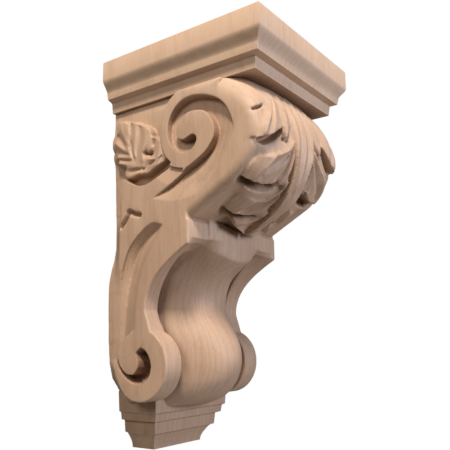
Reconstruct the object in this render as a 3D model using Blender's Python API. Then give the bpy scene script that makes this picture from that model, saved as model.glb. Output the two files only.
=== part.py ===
"""A carved wooden corbel bracket, one solid block of timber.

The block is fixed by its flat back, which lies on the plane y = 0 and faces +Y. The front faces -Y,
+X runs across the width and +Z up. The origin is the middle of the back face. From the top down it has
a moulded cap and a neck band, a bulging scroll with an acanthus leaf draped over it between two carved
cheeks, a straight lip, a hollow throat with a smooth tongue between two ears, a pair of small scrolls
and a stepped foot. Both cheeks carry a spiral volute, a small side leaf and a long sweeping channel.
All sizes are in metres.
"""
import math

import bmesh
import bpy

# Overall size of the block
HEIGHT = 0.3556
WIDTH = 0.160
DEPTH = 0.176

# Cap: a plain face, an ogee, a fillet and a smaller band below
CAP_EASE = 0.0012
CAP_FACE = 0.018
OGEE_HEIGHT = 0.013
OGEE_INSET = 0.0062
FILLET_HEIGHT = 0.0048
FILLET_TAPER = 0.0009
NECK_STEP = 0.0055
NECK_RISE = 0.0022
NECK_HEIGHT = 0.0097
NECK_TAPER = 0.0012

# Foot: a block and three steps, the last one hollowed below
BLOCK_WIDTH = 0.1032
BLOCK_DEPTH = 0.0446
BLOCK_HEIGHT = 0.030
BLOCK_TAPER = 0.0012
STEP_RISE = 0.0010
STEP_HEIGHTS = (0.0062, 0.0101, 0.0135)
STEP_INSETS = (0.0022, 0.0038, 0.0030)
STEP_TAPERS = (0.0009, 0.0010, 0.0067)

# Carved body between the neck and the foot's lowest block edge
CHEEK_WIDTH = 0.1410
CHEEK_TAPER = 0.0025
CHEEK_ROUND = 0.008
TOP_ROUND = 0.020
FIELD_WIDTH = 0.1258
FIELD_TAPER = 0.0048
REACH = 0.1618
TONGUE_WIDTH = 0.087
LIP_WIDTH = 0.082
ROLL_RADIUS = 0.0305
ROLL_OUT = 0.040
GROOVE_DEPTH = 0.0078
CHANNEL_DEPTH = 0.0050
EYE_DEPTH = 0.0135
LEAF_RELIEF = 0.0075
BELLY_HEIGHT = 0.0095
SIDE_LEAF_RELIEF = 0.0088
SIDE_LEAF_ROOT = 0.0020
CUTTER_CLEARANCE = 0.004

# The carving is drawn at this size in millimetres and follows the body's own reach and height
DRAWN_REACH = 161.8
DRAWN_HEIGHT = 275.1

# Mesh fineness
BULGE_ROWS = 34
HOLLOW_ROWS = 9
ROLL_ROWS = 9
CENTRE_COLUMNS = 13
EAR_COLUMNS = 4
ROUND_COLUMNS = 2
SPIRAL_STEPS = 40
SIDE_LEAF_RAYS = 48
SIDE_LEAF_RINGS = 5
OGEE_STEPS = 8
FOOT_HOLLOW_STEPS = 6
ARC_STEPS = 40
LOBE_STEPS = 16
FIELD_EDGE_STEPS = 20
VOLUTE_STEPS = 12
HEEL_STEPS = 8

TOP_Z = HEIGHT / 2
NECK_TOP = CAP_FACE + OGEE_HEIGHT + FILLET_HEIGHT
NECK_BOTTOM = NECK_TOP + NECK_RISE + NECK_HEIGHT
BODY_TOP_Z = TOP_Z - NECK_BOTTOM
FOOT_HEIGHT = sum(STEP_HEIGHTS) + len(STEP_HEIGHTS) * STEP_RISE
BODY_BOTTOM_Z = -HEIGHT / 2 + FOOT_HEIGHT
BODY_HEIGHT = BODY_TOP_Z - BODY_BOTTOM_Z
OUT_SCALE = REACH / DRAWN_REACH
DROP_SCALE = BODY_HEIGHT / DRAWN_HEIGHT
WOOD = (0.47, 0.29, 0.18, 1.0)


def clear_scene():
    """Remove every object that the new scene starts with."""
    for item in list(bpy.data.objects):
        bpy.data.objects.remove(item, do_unlink=True)


def new_collection(name):
    """Make a collection under the scene."""
    group = bpy.data.collections.new(name)
    bpy.context.scene.collection.children.link(group)
    return group


def wood_material():
    """Bare, finely sanded reddish-brown hardwood."""
    material = bpy.data.materials.new("bare_cherry")
    material.use_nodes = True
    shader = material.node_tree.nodes["Principled BSDF"]
    shader.inputs["Base Color"].default_value = WOOD
    shader.inputs["Roughness"].default_value = 0.6
    shader.inputs["Metallic"].default_value = 0.0
    return material


def mesh_object(name, bm, group):
    """Give a finished bmesh outward faces and put it in a collection as an object."""
    bmesh.ops.recalc_face_normals(bm, faces=bm.faces)
    mesh = bpy.data.meshes.new(name)
    bm.to_mesh(mesh)
    bm.free()
    item = bpy.data.objects.new(name, mesh)
    group.objects.link(item)
    return item


def drawn(out, drop):
    """The (y, z) place of a point drawn in mm out from the wall and down from the neck."""
    return -out * OUT_SCALE, BODY_TOP_Z - drop * DROP_SCALE


def bezier(points, t):
    """A point on a cubic curve in the side view, given by four drawn points."""
    a, b, c, d = points
    s = 1.0 - t
    weights = (s * s * s, 3 * s * s * t, 3 * s * t * t, t * t * t)
    return tuple(sum(w * p[i] for w, p in zip(weights, (a, b, c, d))) for i in (0, 1))


def blend(a, b, t):
    """A value or a pair part of the way from a to b."""
    if isinstance(a, tuple):
        return tuple(p + (q - p) * t for p, q in zip(a, b))
    return a + (b - a) * t


def smooth(t):
    """Ease a share from 0 to 1."""
    t = min(1.0, max(0.0, t))
    return t * t * (3.0 - 2.0 * t)


def cheek_half(z):
    """Half the width over the cheeks, which lean in a little towards the foot."""
    return CHEEK_WIDTH / 2 - CHEEK_TAPER * (BODY_TOP_Z - z) / BODY_HEIGHT


def field_half(z):
    """Half the width over the plain side field behind the carving."""
    return FIELD_WIDTH / 2 - FIELD_TAPER * (BODY_TOP_Z - z) / (BODY_HEIGHT / 2)


def stepped_block(name, levels, group):
    """A block with a flat back, given by (z, half width, depth) levels from the top down."""
    bm = bmesh.new()
    rings = []
    for z, half, depth in levels:
        corners = ((-half, 0.0), (half, 0.0), (half, -depth), (-half, -depth))
        rings.append([bm.verts.new((x, y, z)) for x, y in corners])
    for upper, lower in zip(rings, rings[1:]):
        for i in range(4):
            j = (i + 1) % 4
            bm.faces.new((upper[i], upper[j], lower[j], lower[i]))
    bm.faces.new(rings[0])
    bm.faces.new(rings[-1])
    return mesh_object(name, bm, group)


def build_cap(group):
    """Cap with an eased top edge, an ogee, a fillet and the neck band."""
    half = WIDTH / 2
    levels = [(TOP_Z, half - CAP_EASE, DEPTH - CAP_EASE)]
    levels.append((TOP_Z - CAP_EASE, half, DEPTH))
    for i in range(OGEE_STEPS + 1):
        t = i / OGEE_STEPS
        inset = OGEE_INSET * (0.5 - 0.5 * math.cos(math.pi * t))
        levels.append((TOP_Z - CAP_FACE - OGEE_HEIGHT * t, half - inset, DEPTH - inset))
    inset = OGEE_INSET + FILLET_TAPER
    levels.append((TOP_Z - NECK_TOP, half - inset, DEPTH - inset))
    inset += NECK_STEP
    levels.append((TOP_Z - NECK_TOP - NECK_RISE, half - inset, DEPTH - inset))
    inset += NECK_TAPER
    levels.append((BODY_TOP_Z, half - inset, DEPTH - inset))
    return stepped_block("cap", levels, group)


def build_foot(group):
    """Foot block with three diminishing steps and a hollow last one."""
    half = BLOCK_WIDTH / 2
    depth = BLOCK_DEPTH
    z = BODY_BOTTOM_Z
    levels = [(z + BLOCK_HEIGHT, half, depth)]
    half -= BLOCK_TAPER
    depth -= BLOCK_TAPER
    levels.append((z, half, depth))
    for i, (height, inset, taper) in enumerate(zip(STEP_HEIGHTS, STEP_INSETS, STEP_TAPERS)):
        z -= STEP_RISE
        half -= inset
        depth -= inset
        levels.append((z, half, depth))
        last = i == len(STEP_HEIGHTS) - 1
        pieces = FOOT_HOLLOW_STEPS if last else 1
        for k in range(1, pieces + 1):
            t = k / pieces
            inward = taper * (math.sin(t * math.pi / 2) if last else t)
            levels.append((z - height * t, half - inward, depth - inward))
        z -= height
        half -= taper
        depth -= taper
    return stepped_block("foot", levels, group)


# Side view of the body, in drawing millimetres: (out from the wall, down from the neck)
NOSE = (161.8, 46.3)
UPPER_ARC = 66.2
LOWER_ARC = 51.5
BULGE_START = -4.0
BULGE_SWEEP = 62.0
NOTCH_LEAD = (95.0, 113.0)
NOTCH = (93.0, 114.3)
LIP_TOP = (94.3, 116.0)
LIP_BOTTOM = (94.3, 135.8)
TONGUE_NOTCH = (95.0, 120.0)
VALLEY_NOTCH = (93.4, 115.5)
TONGUE_LIP_TOP = (98.0, 121.0)
TONGUE_LIP_BOTTOM = (98.0, 139.3)
VALLEY_LIP_TOP = (94.6, 117.0)
EAR_HOLLOW = (LIP_BOTTOM, (70.3, 148.8), (46.5, 163.3), (46.5, 188.3))
VALLEY_HOLLOW = ((94.6, 133.3), (74.0, 139.3), (46.0, 155.3), (46.0, 188.3))
TONGUE_HOLLOW = (TONGUE_LIP_BOTTOM, (97.0, 149.3), (71.5, 159.3), (71.5, 179.3))
TONGUE_SWELL = ((71.5, 179.3), (71.5, 197.3), (93.0, 208.3), (93.0, 230.3))
TONGUE_UNDER = ((93.0, 230.3), (93.0, 250.3), (75.0, 270.3), (44.5, 271.3))
ROLL_DROP = 234.3
ROLL_ENTRY_ANGLE = 70.0
VALLEY_THROAT = (46.0, 188.3)
VALLEY_ROLL = (48.0, 234.3)
VALLEY_UNDER = (40.0, 262.0)
UNDERSIDE = (
    (125.0, (30.0, 268.0), (30.0, 262.0)),
    (150.0, (14.0, 268.0), (14.0, 262.0)),
)
BACK_LOW = ((0.0, 244.0), (0.0, 262.0), (0.0, 256.0))

# Shape of each row across the front: how square the tongue is, and how steeply the ear leaves the valley
LIP_POWER = 4.0
NOTCH_POWER = 3.0
TONGUE_POWER = 2.0
TONGUE_FULLNESS = 0.8
EAR_TURN = 1.0
ROLL_TURN = 5.0
UNDER_TURN = 3.0
BACK_TURN = 2.0
EAR_EDGE_SHARE = 0.4
TOP_ROUND_SHARE = 0.3

# The leaf stands on a swell that has its own half width at each share of the way down
SWELL_HALF = (
    (0.0, 64.0), (0.40, 66.0), (0.55, 62.0), (0.65, 60.0), (0.78, 51.0), (0.87, 42.0), (0.96, 30.0),
    (1.0, 24.0),
)
SWELL_SHARES = ((0.0, 0.5), (0.40, 0.5), (0.55, 0.65), (0.70, 1.0), (0.94, 1.0), (1.0, 0.4))
TIP_START = 0.92


def bulge_outline():
    """Drawn points down the front of the cheek: two arcs and a straight run into the notch."""
    nose_out, nose_drop = NOSE
    dense = []
    lift = math.asin((nose_drop - BULGE_START) / UPPER_ARC)
    for i in range(ARC_STEPS + 1):
        a = lift * (1 - i / ARC_STEPS)
        dense.append((nose_out - UPPER_ARC * (1 - math.cos(a)), nose_drop - UPPER_ARC * math.sin(a)))
    sweep = math.radians(BULGE_SWEEP)
    for i in range(1, ARC_STEPS + 1):
        a = sweep * i / ARC_STEPS
        dense.append((nose_out - LOWER_ARC * (1 - math.cos(a)), nose_drop + LOWER_ARC * math.sin(a)))
    dense.append(NOTCH_LEAD)
    lengths = [0.0]
    for a, b in zip(dense, dense[1:]):
        lengths.append(lengths[-1] + math.hypot(b[0] - a[0], b[1] - a[1]))
    rows = []
    for i in range(BULGE_ROWS + 1):
        target = lengths[-1] * i / BULGE_ROWS
        k = sum(1 for length in lengths[1:-1] if length <= target)
        t = (target - lengths[k]) / (lengths[k + 1] - lengths[k])
        out, drop = blend(dense[k], dense[k + 1], t)
        run_out = dense[k + 1][0] - dense[k][0]
        run_drop = dense[k + 1][1] - dense[k][1]
        run = math.hypot(run_out, run_drop)
        rows.append((out, drop, run_drop / run, -run_out / run, target))
    return rows, lengths[-1]


# Lobes of the front leaf, on the developed bulge: across from the middle and down along the surface, in mm.
# Each has a root, a bend, a tip, a half width and a share of the full relief.
LEAF_LOBES = (
    ((54, 44), (61, 52), (65, 66), 6.0, 0.75),
    ((30, 2), (43, 30), (54, 65), 10.0, 1.0),
    ((22, 5), (24, 35), (28, 60), 5.5, 0.8),
    ((12, 50), (40, 72), (60, 103), 8.5, 1.0),
    ((9, 54), (28, 78), (42, 105), 8.0, 0.9),
    ((7, 62), (19, 84), (24, 101), 6.0, 0.75),
    ((9, 88), (31, 114), (45, 140), 7.5, 0.95),
    ((7, 92), (20, 120), (29, 142), 7.0, 0.8),
    ((5, 102), (12, 122), (14, 138), 5.0, 0.65),
    ((5, 120), (15, 140), (26, 157), 6.0, 0.8),
    ((3, 124), (8, 146), (12, 160), 4.5, 0.7),
    ((10, 2), (12, 50), (5, 110), 4.5, 0.75),
    ((0, 2), (0, 80), (0, 166), 5.0, 0.95),
)

LOBE_ROOT = 0.35
LOBE_SPREAD = 1.5
LOBE_TAPER = 3.2
LOBE_TIP = 0.25
LOBE_START = 0.30
LOBE_GROWTH = 1.1
LOBE_CREST = 0.5
DRAWN_CHEEK_HALF = 70.5
DRAWN_RUN = 157.0
DRAWN_RUN_START = -4.0


def lobe_height(x, s, lobe):
    """Height share of one lobe at a place on the developed surface."""
    root, bend, tip, half, relief = lobe
    if not (min(root[0], bend[0], tip[0]) - half < x < max(root[0], bend[0], tip[0]) + half):
        return 0.0
    nearest = None
    for i in range(LOBE_STEPS + 1):
        t = i / LOBE_STEPS
        px = (1 - t) ** 2 * root[0] + 2 * t * (1 - t) * bend[0] + t * t * tip[0]
        ps = (1 - t) ** 2 * root[1] + 2 * t * (1 - t) * bend[1] + t * t * tip[1]
        gap = math.hypot(x - px, s - ps)
        if nearest is None or gap < nearest[0]:
            nearest = (gap, t)
    gap, t = nearest
    width = half * min(1.0, LOBE_ROOT + LOBE_SPREAD * t) * min(1.0, LOBE_TAPER * (1.0 - t) + LOBE_TIP)
    if gap >= width:
        return 0.0
    return relief * blend(LOBE_START, 1.0, smooth(t * LOBE_GROWTH)) * (1.0 - (gap / width) ** 2) ** LOBE_CREST


def along_table(table, share):
    """Read a (share, value) table part of the way down."""
    for (low, first), (high, last) in zip(table, table[1:]):
        if share <= high:
            return blend(first, last, (share - low) / (high - low))
    return table[-1][1]


def leaf_relief(x, share):
    """Height of the front leaf and of the swell below it over the bulge, in metres."""
    across = abs(x) / (CHEEK_WIDTH / 2) * DRAWN_CHEEK_HALF
    along = share * DRAWN_RUN + DRAWN_RUN_START
    lobes = LEAF_RELIEF * max(lobe_height(across, along, lobe) for lobe in LEAF_LOBES)
    lobes *= 1.0 - smooth((share - TIP_START) / (1.0 - TIP_START))
    swell = BELLY_HEIGHT * along_table(SWELL_SHARES, share)
    return lobes + swell * max(0.0, 1.0 - (across / along_table(SWELL_HALF, share)) ** 2)


def front_row(ear, tongue, valley, half, power, turn):
    """One row below the bulge: its three drawn places and the shape between them."""
    return {"ear": ear, "tongue": tongue, "valley": valley, "half": half, "power": power, "turn": turn}


def body_rows():
    """Stations down the front: ear, tongue and valley points, valley offset and shape of each row."""
    bulge, length = bulge_outline()
    half = TONGUE_WIDTH / 2
    lip_half = LIP_WIDTH / 2
    rows = [{"back": True, "drop": BULGE_START}]
    for out, drop, n_out, n_drop, s in bulge:
        rows.append({"bulge": (out, drop, n_out, n_drop), "share": s / length})
    rows.append(front_row(NOTCH, TONGUE_NOTCH, VALLEY_NOTCH, lip_half, NOTCH_POWER, EAR_TURN))
    rows.append(front_row(LIP_TOP, TONGUE_LIP_TOP, VALLEY_LIP_TOP, lip_half, LIP_POWER, EAR_TURN))
    rows.append(front_row(LIP_BOTTOM, TONGUE_LIP_BOTTOM, VALLEY_HOLLOW[0], lip_half, LIP_POWER, EAR_TURN))
    for i in range(1, HOLLOW_ROWS + 1):
        t = i / HOLLOW_ROWS
        width = blend(lip_half, half, smooth(t * 1.6))
        power = blend(LIP_POWER, TONGUE_POWER, smooth(t * 1.2))
        places = (bezier(curve, t) for curve in (EAR_HOLLOW, TONGUE_HOLLOW, VALLEY_HOLLOW))
        rows.append(front_row(*places, width, power, EAR_TURN))
    roll_out = ROLL_OUT / OUT_SCALE
    roll = ROLL_RADIUS / OUT_SCALE
    start = math.radians(ROLL_ENTRY_ANGLE)
    for i in range(1, ROLL_ROWS + 1):
        t = i / ROLL_ROWS
        a = start * (1 - t)
        on_roll = (roll_out + roll * math.cos(a), ROLL_DROP - roll * math.sin(a))
        entry = blend(EAR_HOLLOW[3], on_roll, smooth(t * 3.0))
        valley = blend(VALLEY_THROAT, VALLEY_ROLL, t)
        turn = blend(EAR_TURN, ROLL_TURN, smooth(t * 1.5))
        rows.append(front_row(entry, bezier(TONGUE_SWELL, t), valley, half, TONGUE_POWER, turn))
    for i in range(1, ROLL_ROWS + 1):
        t = i / ROLL_ROWS
        a = math.pi / 2 * t
        on_roll = (roll_out + roll * math.cos(a), ROLL_DROP + roll * math.sin(a))
        valley = blend(VALLEY_ROLL, VALLEY_UNDER, t)
        rows.append(front_row(on_roll, bezier(TONGUE_UNDER, t), valley, half, TONGUE_POWER, ROLL_TURN))
    for angle, tongue, valley in UNDERSIDE:
        a = math.radians(angle)
        on_roll = (roll_out + roll * math.cos(a), ROLL_DROP + roll * math.sin(a))
        rows.append(front_row(on_roll, tongue, valley, half, TONGUE_POWER, UNDER_TURN))
    rows.append(front_row(*BACK_LOW, half, TONGUE_POWER, BACK_TURN))
    return rows


def row_points(row):
    """Points of one row from the middle out to the cheek's face."""
    columns = [j / CENTRE_COLUMNS for j in range(CENTRE_COLUMNS + 1)]
    ears = [j / EAR_COLUMNS for j in range(1, EAR_COLUMNS + 1)]
    rounds = [math.pi / 2 * j / ROUND_COLUMNS for j in range(1, ROUND_COLUMNS + 1)]
    points = []
    if "back" in row:
        z = drawn(0.0, row["drop"])[1]
        face = cheek_half(z)
        shoulder = face - CHEEK_ROUND
        tongue = TONGUE_WIDTH / 2
        across = [tongue * c for c in columns] + [blend(tongue, shoulder, e) for e in ears]
        across += [shoulder + CHEEK_ROUND * math.sin(a) for a in rounds]
        return [(x, 0.0, z) for x in across]
    if "bulge" in row:
        out, drop, n_out, n_drop = row["bulge"]
        share = row["share"]
        y, z = drawn(out, drop)
        face = cheek_half(z)
        rounding = blend(TOP_ROUND, CHEEK_ROUND, smooth(share / TOP_ROUND_SHARE))
        shoulder = face - rounding
        tongue = TONGUE_WIDTH / 2
        across = [tongue * c for c in columns] + [blend(tongue, shoulder, e) for e in ears]
        for x in across:
            rise = leaf_relief(x, share)
            points.append((x, y - rise * n_out, z - rise * n_drop))
        rising = max(0.0, n_drop)
        slope = math.hypot(n_out, rising)
        for a in rounds:
            back = rounding * (1 - math.cos(a))
            round_z = z + back * rising / slope
            reach = (cheek_half(round_z) - shoulder) * math.sin(a)
            points.append((shoulder + reach, y + back * n_out / slope, round_z))
        return points
    half = row["half"]
    ear_y, ear_z = drawn(*row["ear"])
    face = cheek_half(ear_z)
    edge = CHEEK_ROUND * EAR_EDGE_SHARE
    shoulder = face - edge
    for c in columns:
        out, drop = blend(row["valley"], row["tongue"], (1 - c ** row["power"]) ** TONGUE_FULLNESS)
        y, z = drawn(out, drop)
        points.append((half * c, y, z))
    for e in ears:
        reach = 1 - (1 - e) ** row["turn"]
        y, z = drawn(*blend(row["valley"], row["ear"], reach))
        points.append((blend(half, shoulder, e), y, z))
    for a in rounds:
        points.append((shoulder + edge * math.sin(a), ear_y, ear_z))
    return points


def build_body(group):
    """The carved block between neck and foot as one closed skin, mirrored from its right half."""
    bm = bmesh.new()
    grid = []
    for row in body_rows():
        right = row_points(row)
        left = [(-x, y, z) for x, y, z in reversed(right[1:])]
        grid.append([bm.verts.new(p) for p in left + right])
    for upper, lower in zip(grid, grid[1:]):
        for j in range(len(upper) - 1):
            bm.faces.new((upper[j], upper[j + 1], lower[j + 1], lower[j]))
    bm.faces.new([line[0] for line in grid])
    bm.faces.new([line[-1] for line in grid])
    bm.faces.new(list(grid[0]) + list(reversed(grid[-1])))
    return mesh_object("body", bm, group)


# Carving on the cheeks, in the same drawing millimetres
EYE = (100.0, 42.3)
VOLUTE_OUTLINE = ((92, 46.2), (138, 43.3), (181, 35.3), (222, 31.8))
FIELD_FLOOR = 124.0
FIELD_END = 165.0
FIELD_EDGE = (
    (74.5, 66.0), (66.0, 71.0), (55.0, 76.0), (44.0, 78.5), (33.0, 76.5), (24.0, 71.5), (17.2, 68.0),
    (16.3, 76.0), (15.6, 90.0), (17.0, FIELD_FLOOR),
)
BEHIND = -6.0
ABOVE = -8.0
FLARE_LAP = 0.5
FLARE_OVERRUN = 4.0
FLARE_TIP = 6.0
WALL_FOOT = (
    (56.0, 92.3), (75.0, 83.0), (91.0, 72.4), (98.0, 68.1), (105.6, 65.6), (114.2, 60.3), (121.7, 51.3),
    (122.9, 41.9), (118.8, 32.0), (111.4, 24.8), (98.2, 22.4), (90.3, 27.0), (84.6, 34.0), (85.2, 39.6),
    (88.0, 44.9), (91.4, 45.6), (95.6, 45.0),
)
GROOVE_RIM = (
    (57.0, 93.5), (78.0, 99.0), (104.0, 97.0), (119.0, 86.0), (132.0, 72.0), (139.5, 58.0), (142.2, 46.0),
    (138.5, 32.5), (130.0, 20.5), (116.0, 12.3), (98.3, 8.6), (84.0, 12.5), (73.6, 26.0), (74.2, 43.7),
    (84.0, 56.5), (98.0, 56.0), (105.8, 47.6),
)
WALL_DEPTHS = (-0.05, 0.35, 0.7, 0.85, 1, 1, 1, 1, 1, 1, 1, 1, 1, 1, 1.1, 1.4, 1.4)
RIM_DEPTHS = (-0.05, -0.05, -0.05, -0.05, -0.05, -0.05, 0.1, 0.45, 0.8, 1, 1, 1, 1, 1, 1.1, 1.4, 1.4)
CHANNEL_WALL = (
    (66.0, 116.5), (55.2, 113.6), (38.7, 121.4), (26.7, 130.9), (20.8, 142.9), (17.5, 160.0), (13.0, 206.0),
)
CHANNEL_RIM = (
    (67.0, 118.0), (66.0, 124.0), (57.0, 135.0), (49.0, 148.0), (43.0, 163.0), (39.4, 180.0), (36.0, 206.0),
)
CHANNEL_SHARES = (-0.05, 0.8, 1.0, 1.0, 0.9, 0.7, -0.05)
CLEAR_SHARE = -0.05
CURL_INNER = (
    (39.5, 220.7), (36.0, 224.5), (38.8, 231.7), (36.0, 240.6), (29.7, 242.3), (20.5, 238.0), (15.5, 232.0),
)
CURL_OUTER = (
    (42.0, 219.6), (48.5, 223.5), (53.2, 233.0), (51.5, 243.0), (41.0, 249.8), (25.0, 246.6), (14.0, 233.0),
)
CURL_SHARES = (1.0, 1.0, 1.0, 1.0, 0.9, 0.6, 0.3)
HEEL_EYE = (41.5, 233.5)
HEEL_RADIUS = 28.8
HEEL_ARC = (172.0, 262.0)
HEEL_START = 229.0
HEEL_FLOOR = ((233.0, 65.2), (258.0, 51.0))
HEEL_END = 276.0
LEAF_HEART = (40.0, 56.0)
LEAF_TIPS = (
    (-20, 18), (15, 22), (53, 27), (83, 34), (105, 43), (123, 55), (139, 50), (159, 41), (196, 28), (240, 16),
    (297, 13),
)
LEAF_SCALLOP = 0.16
LEAF_SCALLOP_SHAPE = 0.7
LEAF_RISE = 0.72
LEAF_CREST_RISE = 0.28
LEAF_EDGE_FALL = 0.25
LEAF_EDGE_SHAPE = 6
LEAF_HEART_RISE = 0.7
LEAF_BACK_GAP = 0.0005


def through(points, t):
    """A point part of the way along a smooth curve through the given points."""
    last = len(points) - 1
    k = min(int(t * last), last - 1)
    u = t * last - k
    a = points[max(k - 1, 0)]
    b = points[k]
    c = points[k + 1]
    d = points[min(k + 2, last)]
    result = []
    for i in range(len(b)):
        slope_b = (c[i] - a[i]) / 2
        slope_c = (d[i] - b[i]) / 2
        rise = c[i] - b[i]
        result.append(b[i] + slope_b * u + (3 * rise - 2 * slope_b - slope_c) * u * u
                      + (slope_b + slope_c - 2 * rise) * u ** 3)
    return tuple(result)


def strip_cutter(name, wall, wall_depths, rim, rim_depths, depth, steps, side, group):
    """A groove cutter between two edge lines, with its own depth along each of them."""
    bm = bmesh.new()
    rings = []
    for i in range(steps + 1):
        t = i / steps
        ring = []
        for line, depths in ((wall, wall_depths), (rim, rim_depths)):
            y, z = drawn(*through(line, t))
            sunk = depth * through([(d,) for d in depths], t)[0]
            face = cheek_half(z)
            ring.append(((face + CUTTER_CLEARANCE) * side, y, z))
            ring.append(((face - sunk) * side, y, z))
        order = (0, 1, 3, 2)
        rings.append([bm.verts.new(ring[k]) for k in order])
    for a, b in zip(rings, rings[1:]):
        for k in range(4):
            m = (k + 1) % 4
            bm.faces.new((a[k], a[m], b[m], b[k]))
    bm.faces.new(rings[0])
    bm.faces.new(rings[-1])
    bmesh.ops.triangulate(bm, faces=bm.faces)
    return mesh_object(name, bm, group)


def field_cutter(name, outline, floor, side, group):
    """A prism that takes the cheek down to a floor, which may slope with the height."""
    bm = bmesh.new()
    inner = []
    outer = []
    for out, drop in outline:
        y, z = drawn(out, drop)
        inner.append(bm.verts.new((floor(z) * side, y, z)))
        outer.append(bm.verts.new(((CHEEK_WIDTH / 2 + CUTTER_CLEARANCE) * side, y, z)))
    bm.faces.new(inner)
    bm.faces.new(outer)
    for i in range(len(inner)):
        j = (i + 1) % len(inner)
        bm.faces.new((inner[i], inner[j], outer[j], outer[i]))
    return mesh_object(name, bm, group)


def field_outline():
    """Edge of the plain side field: round the back of the volute, along the stem and down the rear strip."""
    points = [(BEHIND, ABOVE), (EYE[0], ABOVE)]
    for i in range(VOLUTE_STEPS + 1):
        angle, radius = through(VOLUTE_OUTLINE, i / VOLUTE_STEPS)
        a = math.radians(angle)
        points.append((EYE[0] + radius * math.cos(a), EYE[1] - radius * math.sin(a)))
    points += [through(FIELD_EDGE, i / FIELD_EDGE_STEPS) for i in range(FIELD_EDGE_STEPS + 1)]
    points.append((BEHIND, FIELD_FLOOR))
    return points


def flare_floor(z):
    """Floor of the side field where it runs out to the cheek above the lower scroll."""
    start = drawn(0.0, FIELD_FLOOR)[1]
    end = drawn(0.0, FIELD_END)[1]
    return blend(field_half(start), cheek_half(end), (start - z) / (start - end))


def heel_outline():
    """Outline of the wood behind and below the lower scroll, where the cheek rounds in to the foot."""
    points = [(BEHIND, HEEL_START)]
    for i in range(HEEL_STEPS + 1):
        a = math.radians(blend(*HEEL_ARC, i / HEEL_STEPS))
        points.append((HEEL_EYE[0] + HEEL_RADIUS * math.cos(a), HEEL_EYE[1] - HEEL_RADIUS * math.sin(a)))
    points.append((points[-1][0], HEEL_END))
    points.append((BEHIND, HEEL_END))
    return points


def sloped_floor(start, end):
    """A flat floor through two (drop, half width) places in drawn mm, as a rule for half widths."""
    (first_drop, first_half), (last_drop, last_half) = start, end
    first_z = drawn(0.0, first_drop)[1]
    last_z = drawn(0.0, last_drop)[1]
    to_metres = CHEEK_WIDTH / 2 / DRAWN_CHEEK_HALF
    return lambda z: to_metres * blend(first_half, last_half, (first_z - z) / (first_z - last_z))


def carve_cheek(corbel, side, cutters):
    """Cut the side field, the volute's groove, the channel, the lower curl and the heel into one cheek."""
    last_out = FIELD_EDGE[-1][0]
    flare_start = FIELD_FLOOR - FLARE_LAP
    flare_end = FIELD_END + FLARE_OVERRUN
    flare = [(BEHIND, flare_start), (last_out, flare_start), (last_out, FIELD_FLOOR), (FLARE_TIP, flare_end)]
    flare.append((BEHIND, flare_end))
    groove = (WALL_FOOT, WALL_DEPTHS, GROOVE_RIM, RIM_DEPTHS, GROOVE_DEPTH)
    rim_shares = (CLEAR_SHARE,) * len(CHANNEL_SHARES)
    channel = (CHANNEL_WALL, CHANNEL_SHARES, CHANNEL_RIM, rim_shares, CHANNEL_DEPTH)
    curl = (CURL_INNER, CURL_SHARES, CURL_OUTER, CURL_SHARES, EYE_DEPTH)
    tools = [
        field_cutter("field", field_outline(), field_half, side, cutters),
        field_cutter("flare", flare, flare_floor, side, cutters),
        strip_cutter("groove", *groove, SPIRAL_STEPS * 2, side, cutters),
        strip_cutter("channel", *channel, SPIRAL_STEPS // 2, side, cutters),
        strip_cutter("curl", *curl, SPIRAL_STEPS // 2, side, cutters),
        field_cutter("heel", heel_outline(), sloped_floor(*HEEL_FLOOR), side, cutters),
    ]
    for tool in tools:
        tool.hide_render = True
        tool.display_type = "WIRE"
        apply_boolean(corbel, tool, "DIFFERENCE")


def build_side_leaf(side, group):
    """A small lobed leaf that fans out over the side field behind the volute."""
    bm = bmesh.new()
    heart_y, heart_z = drawn(*LEAF_HEART)
    tips = LEAF_TIPS + ((LEAF_TIPS[0][0] + 360, LEAF_TIPS[0][1]),)
    base = []
    grid = []
    for i in range(SIDE_LEAF_RAYS):
        angle = tips[0][0] + 360 * i / SIDE_LEAF_RAYS
        k = sum(1 for tip in tips[1:-1] if tip[0] <= angle)
        u = (angle - tips[k][0]) / (tips[k + 1][0] - tips[k][0])
        lobed = 1 - LEAF_SCALLOP * math.sin(math.pi * u) ** LEAF_SCALLOP_SHAPE
        radius = blend(tips[k][1], tips[k + 1][1], u) * lobed
        crest = abs(2 * u - 1)
        a = math.radians(angle)
        ray = []
        for r in range(1, SIDE_LEAF_RINGS + 1):
            share = r / SIDE_LEAF_RINGS
            out = LEAF_HEART[0] + radius * share * math.cos(a)
            drop = LEAF_HEART[1] - radius * share * math.sin(a)
            y, z = drawn(out, drop)
            lift = LEAF_RISE + LEAF_CREST_RISE * crest * share - LEAF_EDGE_FALL * share ** LEAF_EDGE_SHAPE
            rise = SIDE_LEAF_RELIEF * lift
            ray.append(bm.verts.new(((field_half(z) + rise) * side, min(y, -LEAF_BACK_GAP), z)))
        grid.append(ray)
        outer = ray[-1].co
        base.append(bm.verts.new(((field_half(outer.z) - SIDE_LEAF_ROOT) * side, outer.y, outer.z)))
    heart_half = field_half(heart_z) + SIDE_LEAF_RELIEF * LEAF_HEART_RISE
    top = bm.verts.new((heart_half * side, heart_y, heart_z))
    for i in range(SIDE_LEAF_RAYS):
        j = (i + 1) % SIDE_LEAF_RAYS
        bm.faces.new((top, grid[i][0], grid[j][0]))
        for r in range(SIDE_LEAF_RINGS - 1):
            bm.faces.new((grid[i][r], grid[i][r + 1], grid[j][r + 1], grid[j][r]))
        bm.faces.new((grid[i][-1], base[i], base[j], grid[j][-1]))
    bm.faces.new(base)
    return mesh_object("side_leaf", bm, group)


def join(target, other):
    """Unite two closed solids and drop the second."""
    apply_boolean(target, other, "UNION")
    bpy.data.objects.remove(other, do_unlink=True)


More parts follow.
